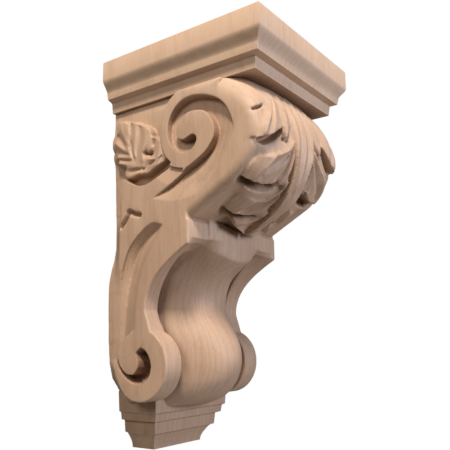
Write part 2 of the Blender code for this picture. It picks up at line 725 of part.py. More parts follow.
def apply_boolean(target, other, operation):
    """Run one exact Boolean on a solid and keep its result as the mesh."""
    modifier = target.modifiers.new("boolean", "BOOLEAN")
    modifier.operation = operation
    modifier.solver = "EXACT"
    modifier.object = other
    bpy.context.view_layer.update()
    evaluated = target.evaluated_get(bpy.context.evaluated_depsgraph_get())
    mesh = bpy.data.meshes.new_from_object(evaluated)
    target.modifiers.clear()
    target.data = mesh


def build_corbel():
    """Join the parts of the block into the corbel."""
    clear_scene()
    group = new_collection("corbel")
    corbel = build_body(group)
    cutters = new_collection("cutters")
    for side in (1, -1):
        carve_cheek(corbel, side, cutters)
        join(corbel, build_side_leaf(side, group))
    join(corbel, build_cap(group))
    join(corbel, build_foot(group))
    corbel.name = "corbel"
    corbel.data.name = "corbel"
    corbel.data.materials.clear()
    corbel.data.materials.append(wood_material())
    return corbel


build_corbel()
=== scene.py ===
"""A carved wooden corbel bracket in bare cherry, dressed and lit for the workshop's catalogue."""
import math

import bmesh
import bpy
import numpy as np
from mathutils import Matrix, Vector, kdtree


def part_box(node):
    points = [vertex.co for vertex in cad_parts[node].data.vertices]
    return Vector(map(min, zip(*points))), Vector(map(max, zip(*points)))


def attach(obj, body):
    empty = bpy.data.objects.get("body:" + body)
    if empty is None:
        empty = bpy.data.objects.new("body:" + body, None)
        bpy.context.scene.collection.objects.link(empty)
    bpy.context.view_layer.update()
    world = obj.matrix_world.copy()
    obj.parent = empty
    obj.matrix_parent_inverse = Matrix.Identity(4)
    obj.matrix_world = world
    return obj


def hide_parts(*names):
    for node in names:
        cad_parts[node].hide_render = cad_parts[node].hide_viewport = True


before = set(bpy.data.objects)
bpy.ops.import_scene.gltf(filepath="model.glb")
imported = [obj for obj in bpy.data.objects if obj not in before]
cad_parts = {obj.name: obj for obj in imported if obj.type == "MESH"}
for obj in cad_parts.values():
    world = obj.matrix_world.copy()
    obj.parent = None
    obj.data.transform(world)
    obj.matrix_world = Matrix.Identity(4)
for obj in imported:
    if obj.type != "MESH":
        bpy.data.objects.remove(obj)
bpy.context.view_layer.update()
block_low, block_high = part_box("corbel")

# The view: a normal lens to the left of the front and a little below the middle, looking slightly up.
# The turn, tilt and lean of the camera are in degrees from looking along +X.
LENS_MM = 47.99
CAMERA_PLACE = (-0.4462, -0.4022, -0.0870)
CAMERA_TURN = math.radians(35.60)
CAMERA_TILT = math.radians(11.15)
CAMERA_LEAN = math.radians(-0.86)

camera_data = bpy.data.cameras.new("catalogue_view")
camera_data.lens = LENS_MM
camera_data.sensor_width = 36.0
camera_data.clip_start = 0.01
camera = bpy.data.objects.new("catalogue_view", camera_data)
bpy.context.scene.collection.objects.link(camera)
ahead = Vector((math.cos(CAMERA_TURN) * math.cos(CAMERA_TILT),
                math.sin(CAMERA_TURN) * math.cos(CAMERA_TILT), math.sin(CAMERA_TILT)))
level = Vector((math.sin(CAMERA_TURN), -math.cos(CAMERA_TURN), 0.0))
upward = level.cross(ahead)
across = level * math.cos(CAMERA_LEAN) + upward * math.sin(CAMERA_LEAN)
upward = upward * math.cos(CAMERA_LEAN) - level * math.sin(CAMERA_LEAN)
turn = Matrix((across, upward, -ahead)).transposed().to_4x4()
camera.matrix_world = Matrix.Translation(CAMERA_PLACE) @ turn
bpy.context.scene.camera = camera

# The block's moulded ends: a cap with an ogee, fillet and neck band, and a foot of three steps with a
# hollow below. Both are machined all round before the carver starts. Sizes in mm, from the top down.
CAP_EASE = 1.2
CAP_FACE = 18.0
OGEE_HEIGHT = 13.0
OGEE_INSET = 6.2
FILLET_HEIGHT = 4.8
FILLET_TAPER = 0.9
NECK_STEP = 5.5
NECK_RISE = 2.2
NECK_HEIGHT = 9.7
NECK_TAPER = 1.2
BLOCK_HALF = 51.6
BLOCK_DEPTH = 44.6
BLOCK_HEIGHT = 17.5
BLOCK_TAPER = 1.2
STEP_RISE = 1.0
STEPS = ((6.2, 2.2, 0.9), (10.1, 3.8, 1.0), (13.5, 3.0, 6.7))  # height, inset and taper of each
OGEE_PIECES = 24
HOLLOW_PIECES = 14

MM = 0.001
cap_top = block_high[2] / MM
cap_half = block_high[0] / MM
cap_depth = -block_low[1] / MM
foot_base = block_low[2] / MM
foot_height = sum(step[0] + STEP_RISE for step in STEPS)
body_top = cap_top - (CAP_FACE + OGEE_HEIGHT + FILLET_HEIGHT + NECK_RISE + NECK_HEIGHT)
body_drop = body_top - (foot_base + foot_height)


def stepped_block(name, levels):
    """A block with a flat back from (z, half width, depth) levels in mm, top first."""
    bm = bmesh.new()
    rings = []
    for z, half, depth in levels:
        corners = ((-half, 0.0), (half, 0.0), (half, -depth), (-half, -depth))
        rings.append([bm.verts.new((x * MM, y * MM, z * MM)) for x, y in corners])
    for upper, lower in zip(rings, rings[1:]):
        for i in range(4):
            j = (i + 1) % 4
            bm.faces.new((upper[i], upper[j], lower[j], lower[i]))
    bm.faces.new(rings[0])
    bm.faces.new(rings[-1])
    bmesh.ops.recalc_face_normals(bm, faces=bm.faces)
    mesh = bpy.data.meshes.new(name)
    bm.to_mesh(mesh)
    bm.free()
    item = bpy.data.objects.new(name, mesh)
    bpy.context.scene.collection.objects.link(item)
    return item


def cap_levels():
    """Levels of the cap from its eased top edge down to the neck's underside."""
    part_ease = 0.35 * CAP_EASE
    levels = [(cap_top, cap_half - CAP_EASE, cap_depth - CAP_EASE)]
    levels.append((cap_top - part_ease, cap_half - part_ease, cap_depth - part_ease))
    levels.append((cap_top - CAP_EASE, cap_half, cap_depth))
    for i in range(OGEE_PIECES + 1):
        t = i / OGEE_PIECES
        inset = OGEE_INSET * (0.5 - 0.5 * math.cos(math.pi * t))
        levels.append((cap_top - CAP_FACE - OGEE_HEIGHT * t, cap_half - inset, cap_depth - inset))
    z = cap_top - CAP_FACE - OGEE_HEIGHT - FILLET_HEIGHT
    inset = OGEE_INSET + FILLET_TAPER
    levels.append((z, cap_half - inset, cap_depth - inset))
    z -= NECK_RISE
    inset += NECK_STEP
    levels.append((z, cap_half - inset, cap_depth - inset))
    z -= NECK_HEIGHT
    inset += NECK_TAPER
    levels.append((z, cap_half - inset, cap_depth - inset))
    return levels


def foot_levels():
    """Levels of the foot from the block that the carving stands on down to the hollow's end."""
    z = foot_base + foot_height
    half = BLOCK_HALF
    depth = BLOCK_DEPTH
    levels = [(z + BLOCK_HEIGHT, half, depth)]
    half -= BLOCK_TAPER
    depth -= BLOCK_TAPER
    levels.append((z, half, depth))
    for height, inset, taper in STEPS:
        z -= STEP_RISE
        half -= inset
        depth -= inset
        levels.append((z, half, depth))
        hollow = taper > height / 3
        pieces = HOLLOW_PIECES if hollow else 1
        for k in range(1, pieces + 1):
            t = k / pieces
            inward = taper * (math.sin(t * math.pi / 2) if hollow else t)
            levels.append((z - height * t, half - inward, depth - inward))
        z -= height
        half -= taper
        depth -= taper
    return levels


# The carved body between neck and foot, of the same cherry, bandsawn to its side outline before the
# cheeks and leaves are cut. It is a field of distances on a fine grid, from which each form takes wood
# away. Places are in mm, as (out from the wall, down from the neck) in side view.
GRID_MM = 0.9
CHEEK_HALF = 70.5
CHEEK_LEAN = 2.5
FIELD_HALF = 62.9
FIELD_LEAN = 4.8
CHEEK_ROUND = 8.0
TOP_ROUND = 20.0
NOSE = (161.8, 46.3)
UPPER_ARC = 66.2
LOWER_ARC = 51.5
LOWER_SWEEP = 62.0
NOTCH = (93.0, 114.3)
LIP_TOP = (94.3, 116.0)
LIP_BOTTOM = (94.3, 135.8)
EAR_HOLLOW = (LIP_BOTTOM, (70.3, 148.8), (46.5, 163.3), (46.5, 188.3))
VALLEY_HOLLOW = ((95.6, 129.5), (73.0, 137.5), (45.0, 154.3), (44.0, 188.3))
TONGUE_LIP = ((95.0, 114.0), (97.6, 117.0), (98.0, 121.0), (98.2, 130.0), (98.0, 139.3), (97.4, 145.0))
TONGUE_HOLLOW = ((97.4, 145.0), (88.0, 152.5), (71.5, 160.0), (71.5, 179.3))
LIP_SWEEP = 12.0
TONGUE_SWELL = ((71.5, 179.3), (71.5, 197.3), (93.0, 208.3), (93.0, 230.3))
TONGUE_UNDER = ((93.0, 230.3), (93.0, 250.3), (75.0, 270.3), (44.5, 271.3))
TONGUE_HALF = 43.5
LIP_HALF = 41.0
TONGUE_FULLNESS = 0.8
ROLL_EYE = (40.0, 234.3)
ROLL_RADIUS = 30.5
ROLL_START = 66.0
ROLL_END = -118.0
ROLL_INNER = 47.5
EAR_TOP = 100.0
WALL_OVERCUT = 6.0
INTO_NECK = 8.0


def bezier(points, count):
    """Evenly stepped points on a cubic curve."""
    t = np.linspace(0.0, 1.0, count)[:, None]
    a, b, c, d = (np.array(p) for p in points)
    return (1 - t) ** 3 * a + 3 * (1 - t) ** 2 * t * b + 3 * (1 - t) * t * t * c + t ** 3 * d


def flowing(points, count):
    """Points along a smooth curve that passes through all the given ones."""
    p = np.array(points, float)
    p = np.vstack((2 * p[0] - p[1], p, 2 * p[-1] - p[-2]))
    place = np.linspace(0.0, len(points) - 1 - 1e-6, count)
    k = place.astype(int)
    u = (place - k)[:, None]
    a, b, c, d = p[k], p[k + 1], p[k + 2], p[k + 3]
    rise = c - b
    in_slope = (c - a) / 2
    out_slope = (d - b) / 2
    square = 3 * rise - 2 * in_slope - out_slope
    cube = in_slope + out_slope - 2 * rise
    return b + in_slope * u + square * u ** 2 + cube * u ** 3


def arc(centre, radius, start, end, count):
    """Points on an arc in the side view, with angles in degrees from straight out, up positive."""
    a = np.radians(np.linspace(start, end, count))
    return np.stack((centre[0] + radius * np.cos(a), centre[1] - radius * np.sin(a)), axis=1)


def smooth(t):
    """Ease a share from 0 to 1."""
    t = np.clip(t, 0.0, 1.0)
    return t * t * (3.0 - 2.0 * t)


def ramp(drops, start, run):
    """Ease from 0 to 1 over a run of drops that begins at start."""
    return smooth((drops - start) / run)


def rounded_max(a, b, radius):
    """The larger of two distances, with the corner between them rounded."""
    inner = np.minimum(np.maximum(a + radius, b + radius), 0.0)
    return inner + np.hypot(np.maximum(a + radius, 0.0), np.maximum(b + radius, 0.0)) - radius


def rounded_min(a, b, radius):
    """The smaller of two distances, with a fillet where they meet."""
    return -rounded_max(-a, -b, radius)


def outline_distance(outs, drops, outline):
    """Distance from each grid place to a closed outline, negative inside, and the share along it."""
    o = outs[:, None].astype(np.float32)
    d = drops[None, :].astype(np.float32)
    best = np.full((len(outs), len(drops)), 1e9, np.float32)
    where = np.zeros_like(best)
    inside = np.zeros(best.shape, bool)
    run = 0.0
    for a, b in zip(outline, np.roll(outline, -1, axis=0)):
        along = b - a
        length = math.hypot(*along)
        if length < 1e-9:
            continue
        t = np.clip(((o - a[0]) * along[0] + (d - a[1]) * along[1]) / length ** 2, 0.0, 1.0)
        gap = np.hypot(o - a[0] - t * along[0], d - a[1] - t * along[1])
        nearer = gap < best
        best[nearer] = gap[nearer]
        where[nearer] = (run + t * length)[nearer]
        run += length
        if a[1] != b[1]:
            crosses = ((a[1] > d) != (b[1] > d)) & (o < along[0] * (d - a[1]) / along[1] + a[0])
            inside ^= crosses
    return np.where(inside, -best, best), where


upper_lift = math.degrees(math.asin((NOSE[1] + INTO_NECK) / UPPER_ARC))
bulge_line = np.vstack((
    arc((NOSE[0] - UPPER_ARC, NOSE[1]), UPPER_ARC, upper_lift, 0.0, 60),
    arc((NOSE[0] - LOWER_ARC, NOSE[1]), LOWER_ARC, -1.0, -LOWER_SWEEP, 60),
    [(NOTCH[0] + 2.0, NOTCH[1] - 1.3)],
))
bulge_steps = np.hypot(*np.diff(bulge_line, axis=0).T)
bulge_run = np.concatenate(([0.0], np.cumsum(bulge_steps)))
neck_run = np.interp(0.0, bulge_line[:, 1], bulge_run)
ear_profile = np.vstack((
    [(NOTCH[0], EAR_TOP), NOTCH, LIP_TOP, LIP_BOTTOM],
    bezier(EAR_HOLLOW, 40)[1:],
    arc(ROLL_EYE, ROLL_RADIUS, ROLL_START, ROLL_END, 70),
    [(-WALL_OVERCUT, 246.0), (-WALL_OVERCUT, EAR_TOP)],
))

# The acanthus leaf that wraps the bulge, carved from the same cherry with gouges. It is drawn on the
# bulge's developed face as lines of wood left high and cut low, each point being (across from the
# middle, down along the face, height over the plain bulge), and the wood runs from line to line.
LEAF_STEP = 0.5
LEAF_ACROSS = 74.0
LEAF_DOWN = 172.0
LEAF_LINES = (
    # middle shaft: its crest, the flute beside it, its edge and its foot
    ((0, 0, 5), (0, 20, 7), (0, 40, 8.8), (0, 52, 9.8), (0, 62, 10.4), (0, 75, 11.6), (0, 87, 14),
     (0, 100, 16), (0, 117, 16.6), (0, 132, 16.2), (0, 142, 15.2), (0, 147, 13.5)),
    ((6, 4, 4.4), (6, 30, 5.4), (6, 50, 7), (5.6, 65, 8.2), (4.6, 80, 10), (3.8, 92, 12.6)),
    ((11.5, 4, 4.8), (12.5, 30, 7.4), (13.5, 48, 9.4), (13.2, 62, 10.4), (11.3, 74, 11), (9.5, 86, 12.8),
     (8.8, 99, 15), (5.5, 113, 16), (3.5, 131, 16), (1.6, 144, 15)),
    ((17, 5, 4.2), (17.5, 30, 4.6), (17, 45, 5), (16, 54, 5.4), (14.8, 66, 5.8), (12.8, 76, 6.2),
     (10.9, 88, 7), (10.4, 97, 8.2), (7.8, 107, 9), (5.6, 116, 9.4), (4.6, 130, 9.8), (3.4, 142, 9),
     (3, 149, 6)),
    # first cluster: inner lobe with its tip, then the valley beyond it
    ((22, 6, 4.8), (25, 26, 6.8), (28, 38, 7.6), (29.4, 46, 8.2), (28.8, 52, 8)),
    ((32, 46, 6.6), (31.8, 52, 7), (30, 55.2, 7), (27.4, 52.6, 6.8), (24, 48, 6.2), (20.6, 42, 5.8)),
    ((33, 53.6, 2.4), (30.4, 57.2, 1.8), (26.8, 54.8, 2.6), (23, 50.2, 3.2), (19.4, 44, 4.2)),
    ((30, 12, 4), (32.6, 26, 4.6), (34, 38, 4.4), (34.2, 45, 4)),
    # middle lobe, its lower edge, and the deep pocket below it
    ((34, 14, 4.4), (40, 26, 6.2), (45, 38, 7.4), (48.6, 49, 8), (50.4, 55.6, 7.8)),
    ((62.5, 61, 6.2), (55.8, 59.2, 7.2), (46.4, 54.2, 7.6), (37.4, 48.6, 7.4), (35, 46.2, 6.8)),
    ((62.8, 62.2, -1), (55.8, 60.4, -2.6), (46, 55.4, -3), (36.8, 49.7, -2), (34.4, 47.6, 1)),
    ((61, 64.2, -4), (54, 63.4, -5), (47, 59.4, -5), (40, 54.2, -4), (35.4, 50.4, -1.4)),
    ((63, 67.6, 1.4), (57, 67.4, 2.6), (50.5, 64.8, 3.2), (42.5, 60, 4), (34.5, 53.8, 4.8), (28, 59, 5)),
    ((41, 26, 4.6), (48, 39, 5), (53, 50, 5.4), (55, 56.5, 6)),
    ((40, 22, 5), (49.6, 38.2, 7), (58.6, 50.4, 8), (62.6, 59.7, 7.2)),
    # outer lobe, whose tip lies on the rim of the volute, with the small pocket above it
    ((67.2, 63.4, 5.4), (65, 62.4, 6), (62.8, 61.2, 6.4)),
    ((67.6, 64.8, 0), (65.4, 63.8, -0.6), (63.2, 62.6, -0.8)),
    ((59, 41, 3.4), (63.4, 49, 3.8), (66, 56, 4.6)),
    ((67.4, 37.6, 1.6), (62.4, 35.6, 3.2), (56, 32, 4)),
    ((66.4, 39, -3.4), (62, 37.2, -3.4), (57.6, 34.4, 0.4)),
    ((68.6, 38.6, 0.6), (68, 41.6, 0.8)),
    ((67, 41.6, 1), (62.4, 40, 3.4), (57.4, 37, 4)),
    # second cluster: bright crest, tip facet, vein, lower edge and the pocket below it
    ((49.6, 73.3, 8.4), (40.7, 70.4, 9), (31.8, 67, 9), (24.2, 62.4, 9.2), (18.8, 56, 9)),
    ((59.8, 74, 0.4), (55, 72.6, 2.4), (50, 71, 4.8), (40.6, 67.4, 5.8), (31.6, 63.6, 6.2)),
    ((57.8, 76, 3), (53.6, 74.8, 5.8), (49.8, 73.4, 8.2)),
    ((57.8, 76, 3), (61.4, 85, 2.2), (60.4, 95, 2)),
    ((43.4, 71.8, 9.6), (48.6, 81, 9.4), (53, 93.2, 7)),
    ((59.4, 75.2, 0), (63, 84.8, 0), (61.8, 96, -1)),
    ((46.6, 90, 5), (44, 84, 4.6), (40.4, 79.2, 4.2), (31.9, 73, 4.8), (23.3, 66, 5.6), (18.2, 60, 6.4)),
    ((44, 87.6, 6.6), (34, 81.6, 7.6), (26, 74.4, 8), (21.6, 66.6, 8.2)),
    ((60.4, 95.4, 2), (53, 95, 6.4), (46, 94.4, 6.8), (39.9, 93.6, 7.6), (30.9, 90.6, 8.6),
     (26.2, 87.4, 8.6)),
    ((60.2, 96.6, -4), (53, 96.2, -7), (40, 94.8, -8), (30.6, 91.8, -6), (25.6, 88.8, -1)),
    ((57, 99.4, -4), (46, 100.6, -9), (36, 99.6, -9.4), (28, 96, -7), (22.6, 92.2, -2)),
    ((52, 103.2, 3), (41, 103.4, 4.8), (30.4, 101.6, 6), (22, 97.4, 6.6), (15.6, 92.4, 6.8)),
    # its inner finger beside the shaft
    ((20.2, 64, 5.8), (20, 72, 5.4), (21.8, 80, 5), (26.4, 86.6, 5.2)),
    ((17.4, 62, 8.8), (16.4, 73, 9.6), (18, 82, 9.4), (21.4, 90, 8.8)),
    ((23, 91.4, 4), (19.6, 92.8, 4.4), (15.6, 90, 5.4)),
    # third cluster in the same order
    ((30.1, 109.6, 8.4), (20.6, 106, 9.8), (17, 98.5, 10.4), (14.4, 91.6, 11), (12.2, 85, 10.6)),
    ((44, 109, 4), (38, 108.6, 5.4), (30.4, 107.4, 6.6), (22, 103.4, 7.8)),
    ((46.6, 114.6, 1.8), (39.6, 111, 5.6), (30.4, 109.8, 9)),
    ((46.6, 114.6, 1.8), (45.4, 123, 1.6), (41.8, 131, 2)),
    ((30.3, 110, 9), (33.4, 121.3, 8.8), (35.6, 130.6, 6.6)),
    ((48.8, 113, -0.4), (46.8, 124, -0.6), (43, 132.4, -2)),
    ((30, 127, 4.4), (25.6, 120, 4.6), (21, 112.6, 5.6), (16.4, 104.6, 7), (13.4, 96, 8.4)),
    ((24.6, 128, 8.4), (20.4, 120, 9.4), (16, 112, 10.4), (12.8, 104, 11.2), (12.2, 97, 11.4)),
    ((41.3, 131.4, 2), (35.6, 131, 6.2), (31, 130, 7), (21.6, 126.4, 9), (14.6, 121.6, 10.4)),
    ((41.8, 132.6, -5), (31, 131.4, -6.4), (22.2, 127.8, -4), (15.2, 123, 1.4)),
    ((37, 136, -5), (29.8, 135, -6), (23.2, 131, -3.6)),
    # fourth cluster, which curls clear of the bulge, and the leaf's tip over the lip
    ((28.4, 136.4, 8.6), (22.4, 132.4, 10), (15.8, 127.6, 11), (9.8, 120, 12)),
    ((26.6, 138, 11.6), (21.6, 134.6, 13), (15.4, 129.8, 13.8), (10, 122, 14), (7.6, 113, 13.8)),
    ((18, 137.4, 10), (12.4, 132.4, 10.8), (8.6, 125, 11.4)),
    ((27, 139.2, 11), (20, 141.4, 12), (12, 143.2, 13), (5, 145, 14)),
    ((27.4, 140.6, -1), (20.2, 142.8, -3), (12.2, 144.8, -3), (5, 147.6, -2), (0, 149.6, -1)),
    # plain wood above and beside the leaf
    ((0, 0, 5), (20, 0, 4.4), (40, 0, 2.6), (60, 0, 0.6), (74, 0, 0)),
    ((74, 0, 0), (74, 172, 0)),
    ((0, 172, 0), (74, 172, 0)),
    ((70.8, 70, 0), (71, 84, 0), (67, 100, -0.2), (60, 106, 0), (55, 115, 0), (52.4, 126, 0), (46, 137, 0),
     (38, 141, 0), (31, 146, 0), (22, 152, 0), (12, 157, 0), (5, 161, 0), (0, 163, 0)),
)


RELAX_GRIDS = (4, 2, 1)
RELAX_ROUNDS = 500


def relax_between(lines, step, width, depth, mirror):
    """A height table that passes through drawn lines and spans between them like a stretched skin."""
    table = None
    for coarse in RELAX_GRIDS:
        cell = step * coarse
        rows = int(round(width / cell)) + 1
        columns = int(round(depth / cell)) + 1
        if table is None:
            table = np.zeros((rows, columns))
        else:
            r = np.linspace(0, table.shape[0] - 1, rows)
            c = np.linspace(0, table.shape[1] - 1, columns)
            r0 = np.minimum(r.astype(int), table.shape[0] - 2)
            c0 = np.minimum(c.astype(int), table.shape[1] - 2)
            fr = (r - r0)[:, None]
            fc = (c - c0)[None, :]
            upper = table[r0][:, c0] * (1 - fc) + table[r0][:, c0 + 1] * fc
            lower = table[r0 + 1][:, c0] * (1 - fc) + table[r0 + 1][:, c0 + 1] * fc
            table = upper * (1 - fr) + lower * fr
        total = np.zeros((rows, columns))
        count = np.zeros((rows, columns))
        for line in lines:
            if len(line) > 2:
                curve = flowing(line, 24 * len(line))
            else:
                curve = np.linspace(line[0], line[1], 800)
            i = np.clip(np.rint(curve[:, 0] / cell).astype(int), 0, rows - 1)
            j = np.clip(np.rint(curve[:, 1] / cell).astype(int), 0, columns - 1)
            np.add.at(total, (i, j), curve[:, 2])
            np.add.at(count, (i, j), 1)
        drawn = count > 0
        fixed = total[drawn] / count[drawn]
        for _ in range(RELAX_ROUNDS):
            padded = np.pad(table, 1, mode="edge")
            if mirror:
                padded[0] = padded[2]
            table = (padded[:-2, 1:-1] + padded[2:, 1:-1] + padded[1:-1, :-2] + padded[1:-1, 2:]) / 4
            table[drawn] = fixed
    return table


def eased(table, passes):
    """Take the sharpness off a height table as sanding does."""
    for _ in range(passes):
        padded = np.pad(table, 1, mode="edge")
        around = padded[:-2, 1:-1] + padded[2:, 1:-1] + padded[1:-1, :-2] + padded[1:-1, 2:]
        table = (around + 4 * table) / 8
    return table


leaf_table = relax_between(LEAF_LINES, LEAF_STEP, LEAF_ACROSS, LEAF_DOWN, True)

# The cheeks of the same block: a spiral volute with a side leaf behind it, a stem, a plain field, a
# channel and a lower curl, cut in with gouges and a V tool. A depth is measured in from the cheek.
EYE = (100.0, 42.3)
VOLUTE_OUTLINE = (
    (92, 46.2), (120, 44.4), (138, 43.3), (157, 38.4), (181, 35.3), (204, 33.3), (222, 31.8),
)
FIELD_EDGE = (
    (74.5, 66.0), (66.0, 71.0), (55.0, 76.0), (44.0, 78.5), (33.0, 76.5), (24.0, 71.5), (17.2, 68.0),
)
REAR_EDGE = (
    (16.3, 75.0), (15.6, 90.0), (16.6, 124.0), (18.4, 143.0), (19.6, 160.0), (17.6, 185.0),
    (16.6, 204.0),
)
FIELD_START = ((-9.0, -9.0), (104.0, -9.0))
FIELD_END = ((20.0, 272.0), (-9.0, 272.0))
DISC_EYE = (41.5, 233.5)
DISC_RADIUS = 28.8
DISC_SAG = 2.4
DISC_SAG_RUN = (238.0, 24.0)
LOWER_REAR_TOP = 215.0
REAR_HALF = (
    (100.0, 59.0), (130.0, 58.6), (141.0, 60.6), (150.0, 63.6), (160.0, 66.0), (170.0, 67.0),
    (212.0, 65.7), (233.0, 63.8), (246.0, 60.1), (255.0, 53.0), (262.0, 48.0),
)
REAR_WIDTH = 17.0
REAR_MEETS_DISC = 200.0
BANK_BEGINS = (94.0, 26.0)
BANK_ENDS = (150.0, 25.0)
BANK_RETURNS = (228.0, 10.0)
WALL_FOOT = (
    (56.0, 92.3), (75.0, 83.0), (91.0, 72.6), (98.0, 69.4), (105.6, 65.6), (114.2, 60.3), (121.7, 51.3),
    (122.9, 41.9), (118.8, 32.0), (111.4, 24.8), (98.2, 22.2), (90.3, 25.4), (84.0, 32.0), (82.6, 38.0),
    (84.6, 43.6), (90.0, 45.8), (95.4, 44.3), (99.4, 43.2), (102.0, 43.8),
)
GROOVE_RIM = (
    (57.0, 93.5), (78.0, 99.0), (104.0, 97.0), (119.0, 86.0), (132.0, 72.0), (139.5, 58.0), (142.2, 46.0),
    (138.5, 32.5), (130.0, 20.5), (116.0, 12.3), (98.3, 8.6), (84.0, 12.5), (73.6, 26.0), (74.2, 43.7),
    (84.0, 55.5), (95.0, 57.4), (101.6, 54.0), (104.4, 49.0), (103.6, 45.0),
)
WALL_DEPTHS = (
    1.0, 5.0, 7.5, 8.0, 8.2, 8.2, 8.2, 8.2, 8.4, 8.6, 8.6, 8.4, 7.6, 6.4, 6.0, 8.0, 11.0, 12.5, 12.5,
)
RIM_DEPTHS = (
    -0.4, -0.4, -0.4, -0.4, -0.4, -0.4, 0.8, 4.0, 7.0, 8.6, 8.6, 8.4, 7.0, 5.0, 5.0, 8.0, 11.0, 12.5,
    12.5,
)
STEM_WALL = ((64.5, 54.0), (68.0, 60.0), (74.0, 65.6), (82.0, 69.3), (91.5, 71.4))
STEM_RIM = ((52.0, 66.0), (56.0, 73.0), (62.0, 79.0), (69.0, 83.5), (77.0, 86.0))
STEM_DEPTHS = (2.8,) * 5
STEM_RIM_DEPTHS = (-0.4,) * 5
CHANNEL_WALL = (
    (66.3, 116.0), (53.0, 114.4), (38.5, 122.6), (28.0, 132.6), (21.4, 145.4), (17.2, 161.5),
    (14.0, 187.0), (13.0, 222.0),
)
CHANNEL_DEEP = (
    (66.6, 117.4), (52.0, 120.6), (38.0, 130.0), (29.4, 141.4), (24.6, 154.0), (21.4, 172.0),
    (19.4, 198.0), (19.0, 222.0),
)
CHANNEL_RIM = (
    (67.0, 118.6), (64.0, 125.0), (54.0, 137.0), (46.0, 150.0), (41.0, 165.0), (38.4, 182.0),
    (37.4, 202.0), (37.4, 222.0),
)
CHANNEL_WALL_DEPTHS = (0.0, 0.6, 1.0, 1.4, 2.0, 2.4, 2.0, 2.4)
CHANNEL_DEPTHS = (0.6, 6.5, 8.4, 8.8, 8.0, 6.4, 5.0, 4.4)
CHANNEL_RIM_DEPTHS = (-0.4,) * 8
CURL_INNER = (
    (39.5, 221.0), (36.4, 224.5), (38.8, 231.7), (37.4, 238.0), (31.6, 242.3), (24.0, 240.6),
    (17.6, 234.6), (13.9, 226.0),
)
CURL_OUTER = (
    (42.0, 219.6), (48.5, 223.5), (53.4, 233.0), (51.5, 243.0), (42.0, 249.8), (28.0, 247.4),
    (16.6, 237.4), (12.9, 226.0),
)
CURL_DEPTHS = (17.0, 17.4, 17.4, 17.4, 16.0, 12.0, 7.0, 3.6)
MARK_LINE = (
    (39.4, 104.8), (33.0, 103.2), (26.4, 100.2), (24.6, 104.0), (21.0, 108.6), (15.8, 113.6),
)
MARK_WIDTH = 3.0
MARK_DEPTH = 5.4
CUT_EASE = 0.5
MARK_EASE = 0.3
SIDE_LEAF_OUT = 74.0
SIDE_LEAF_DOWN = 76.0
SIDE_LEAF_FRONT = 73.0
SIDE_LEAF_TOP = 8.0
SIDE_LEAF_FOOT = 74.0
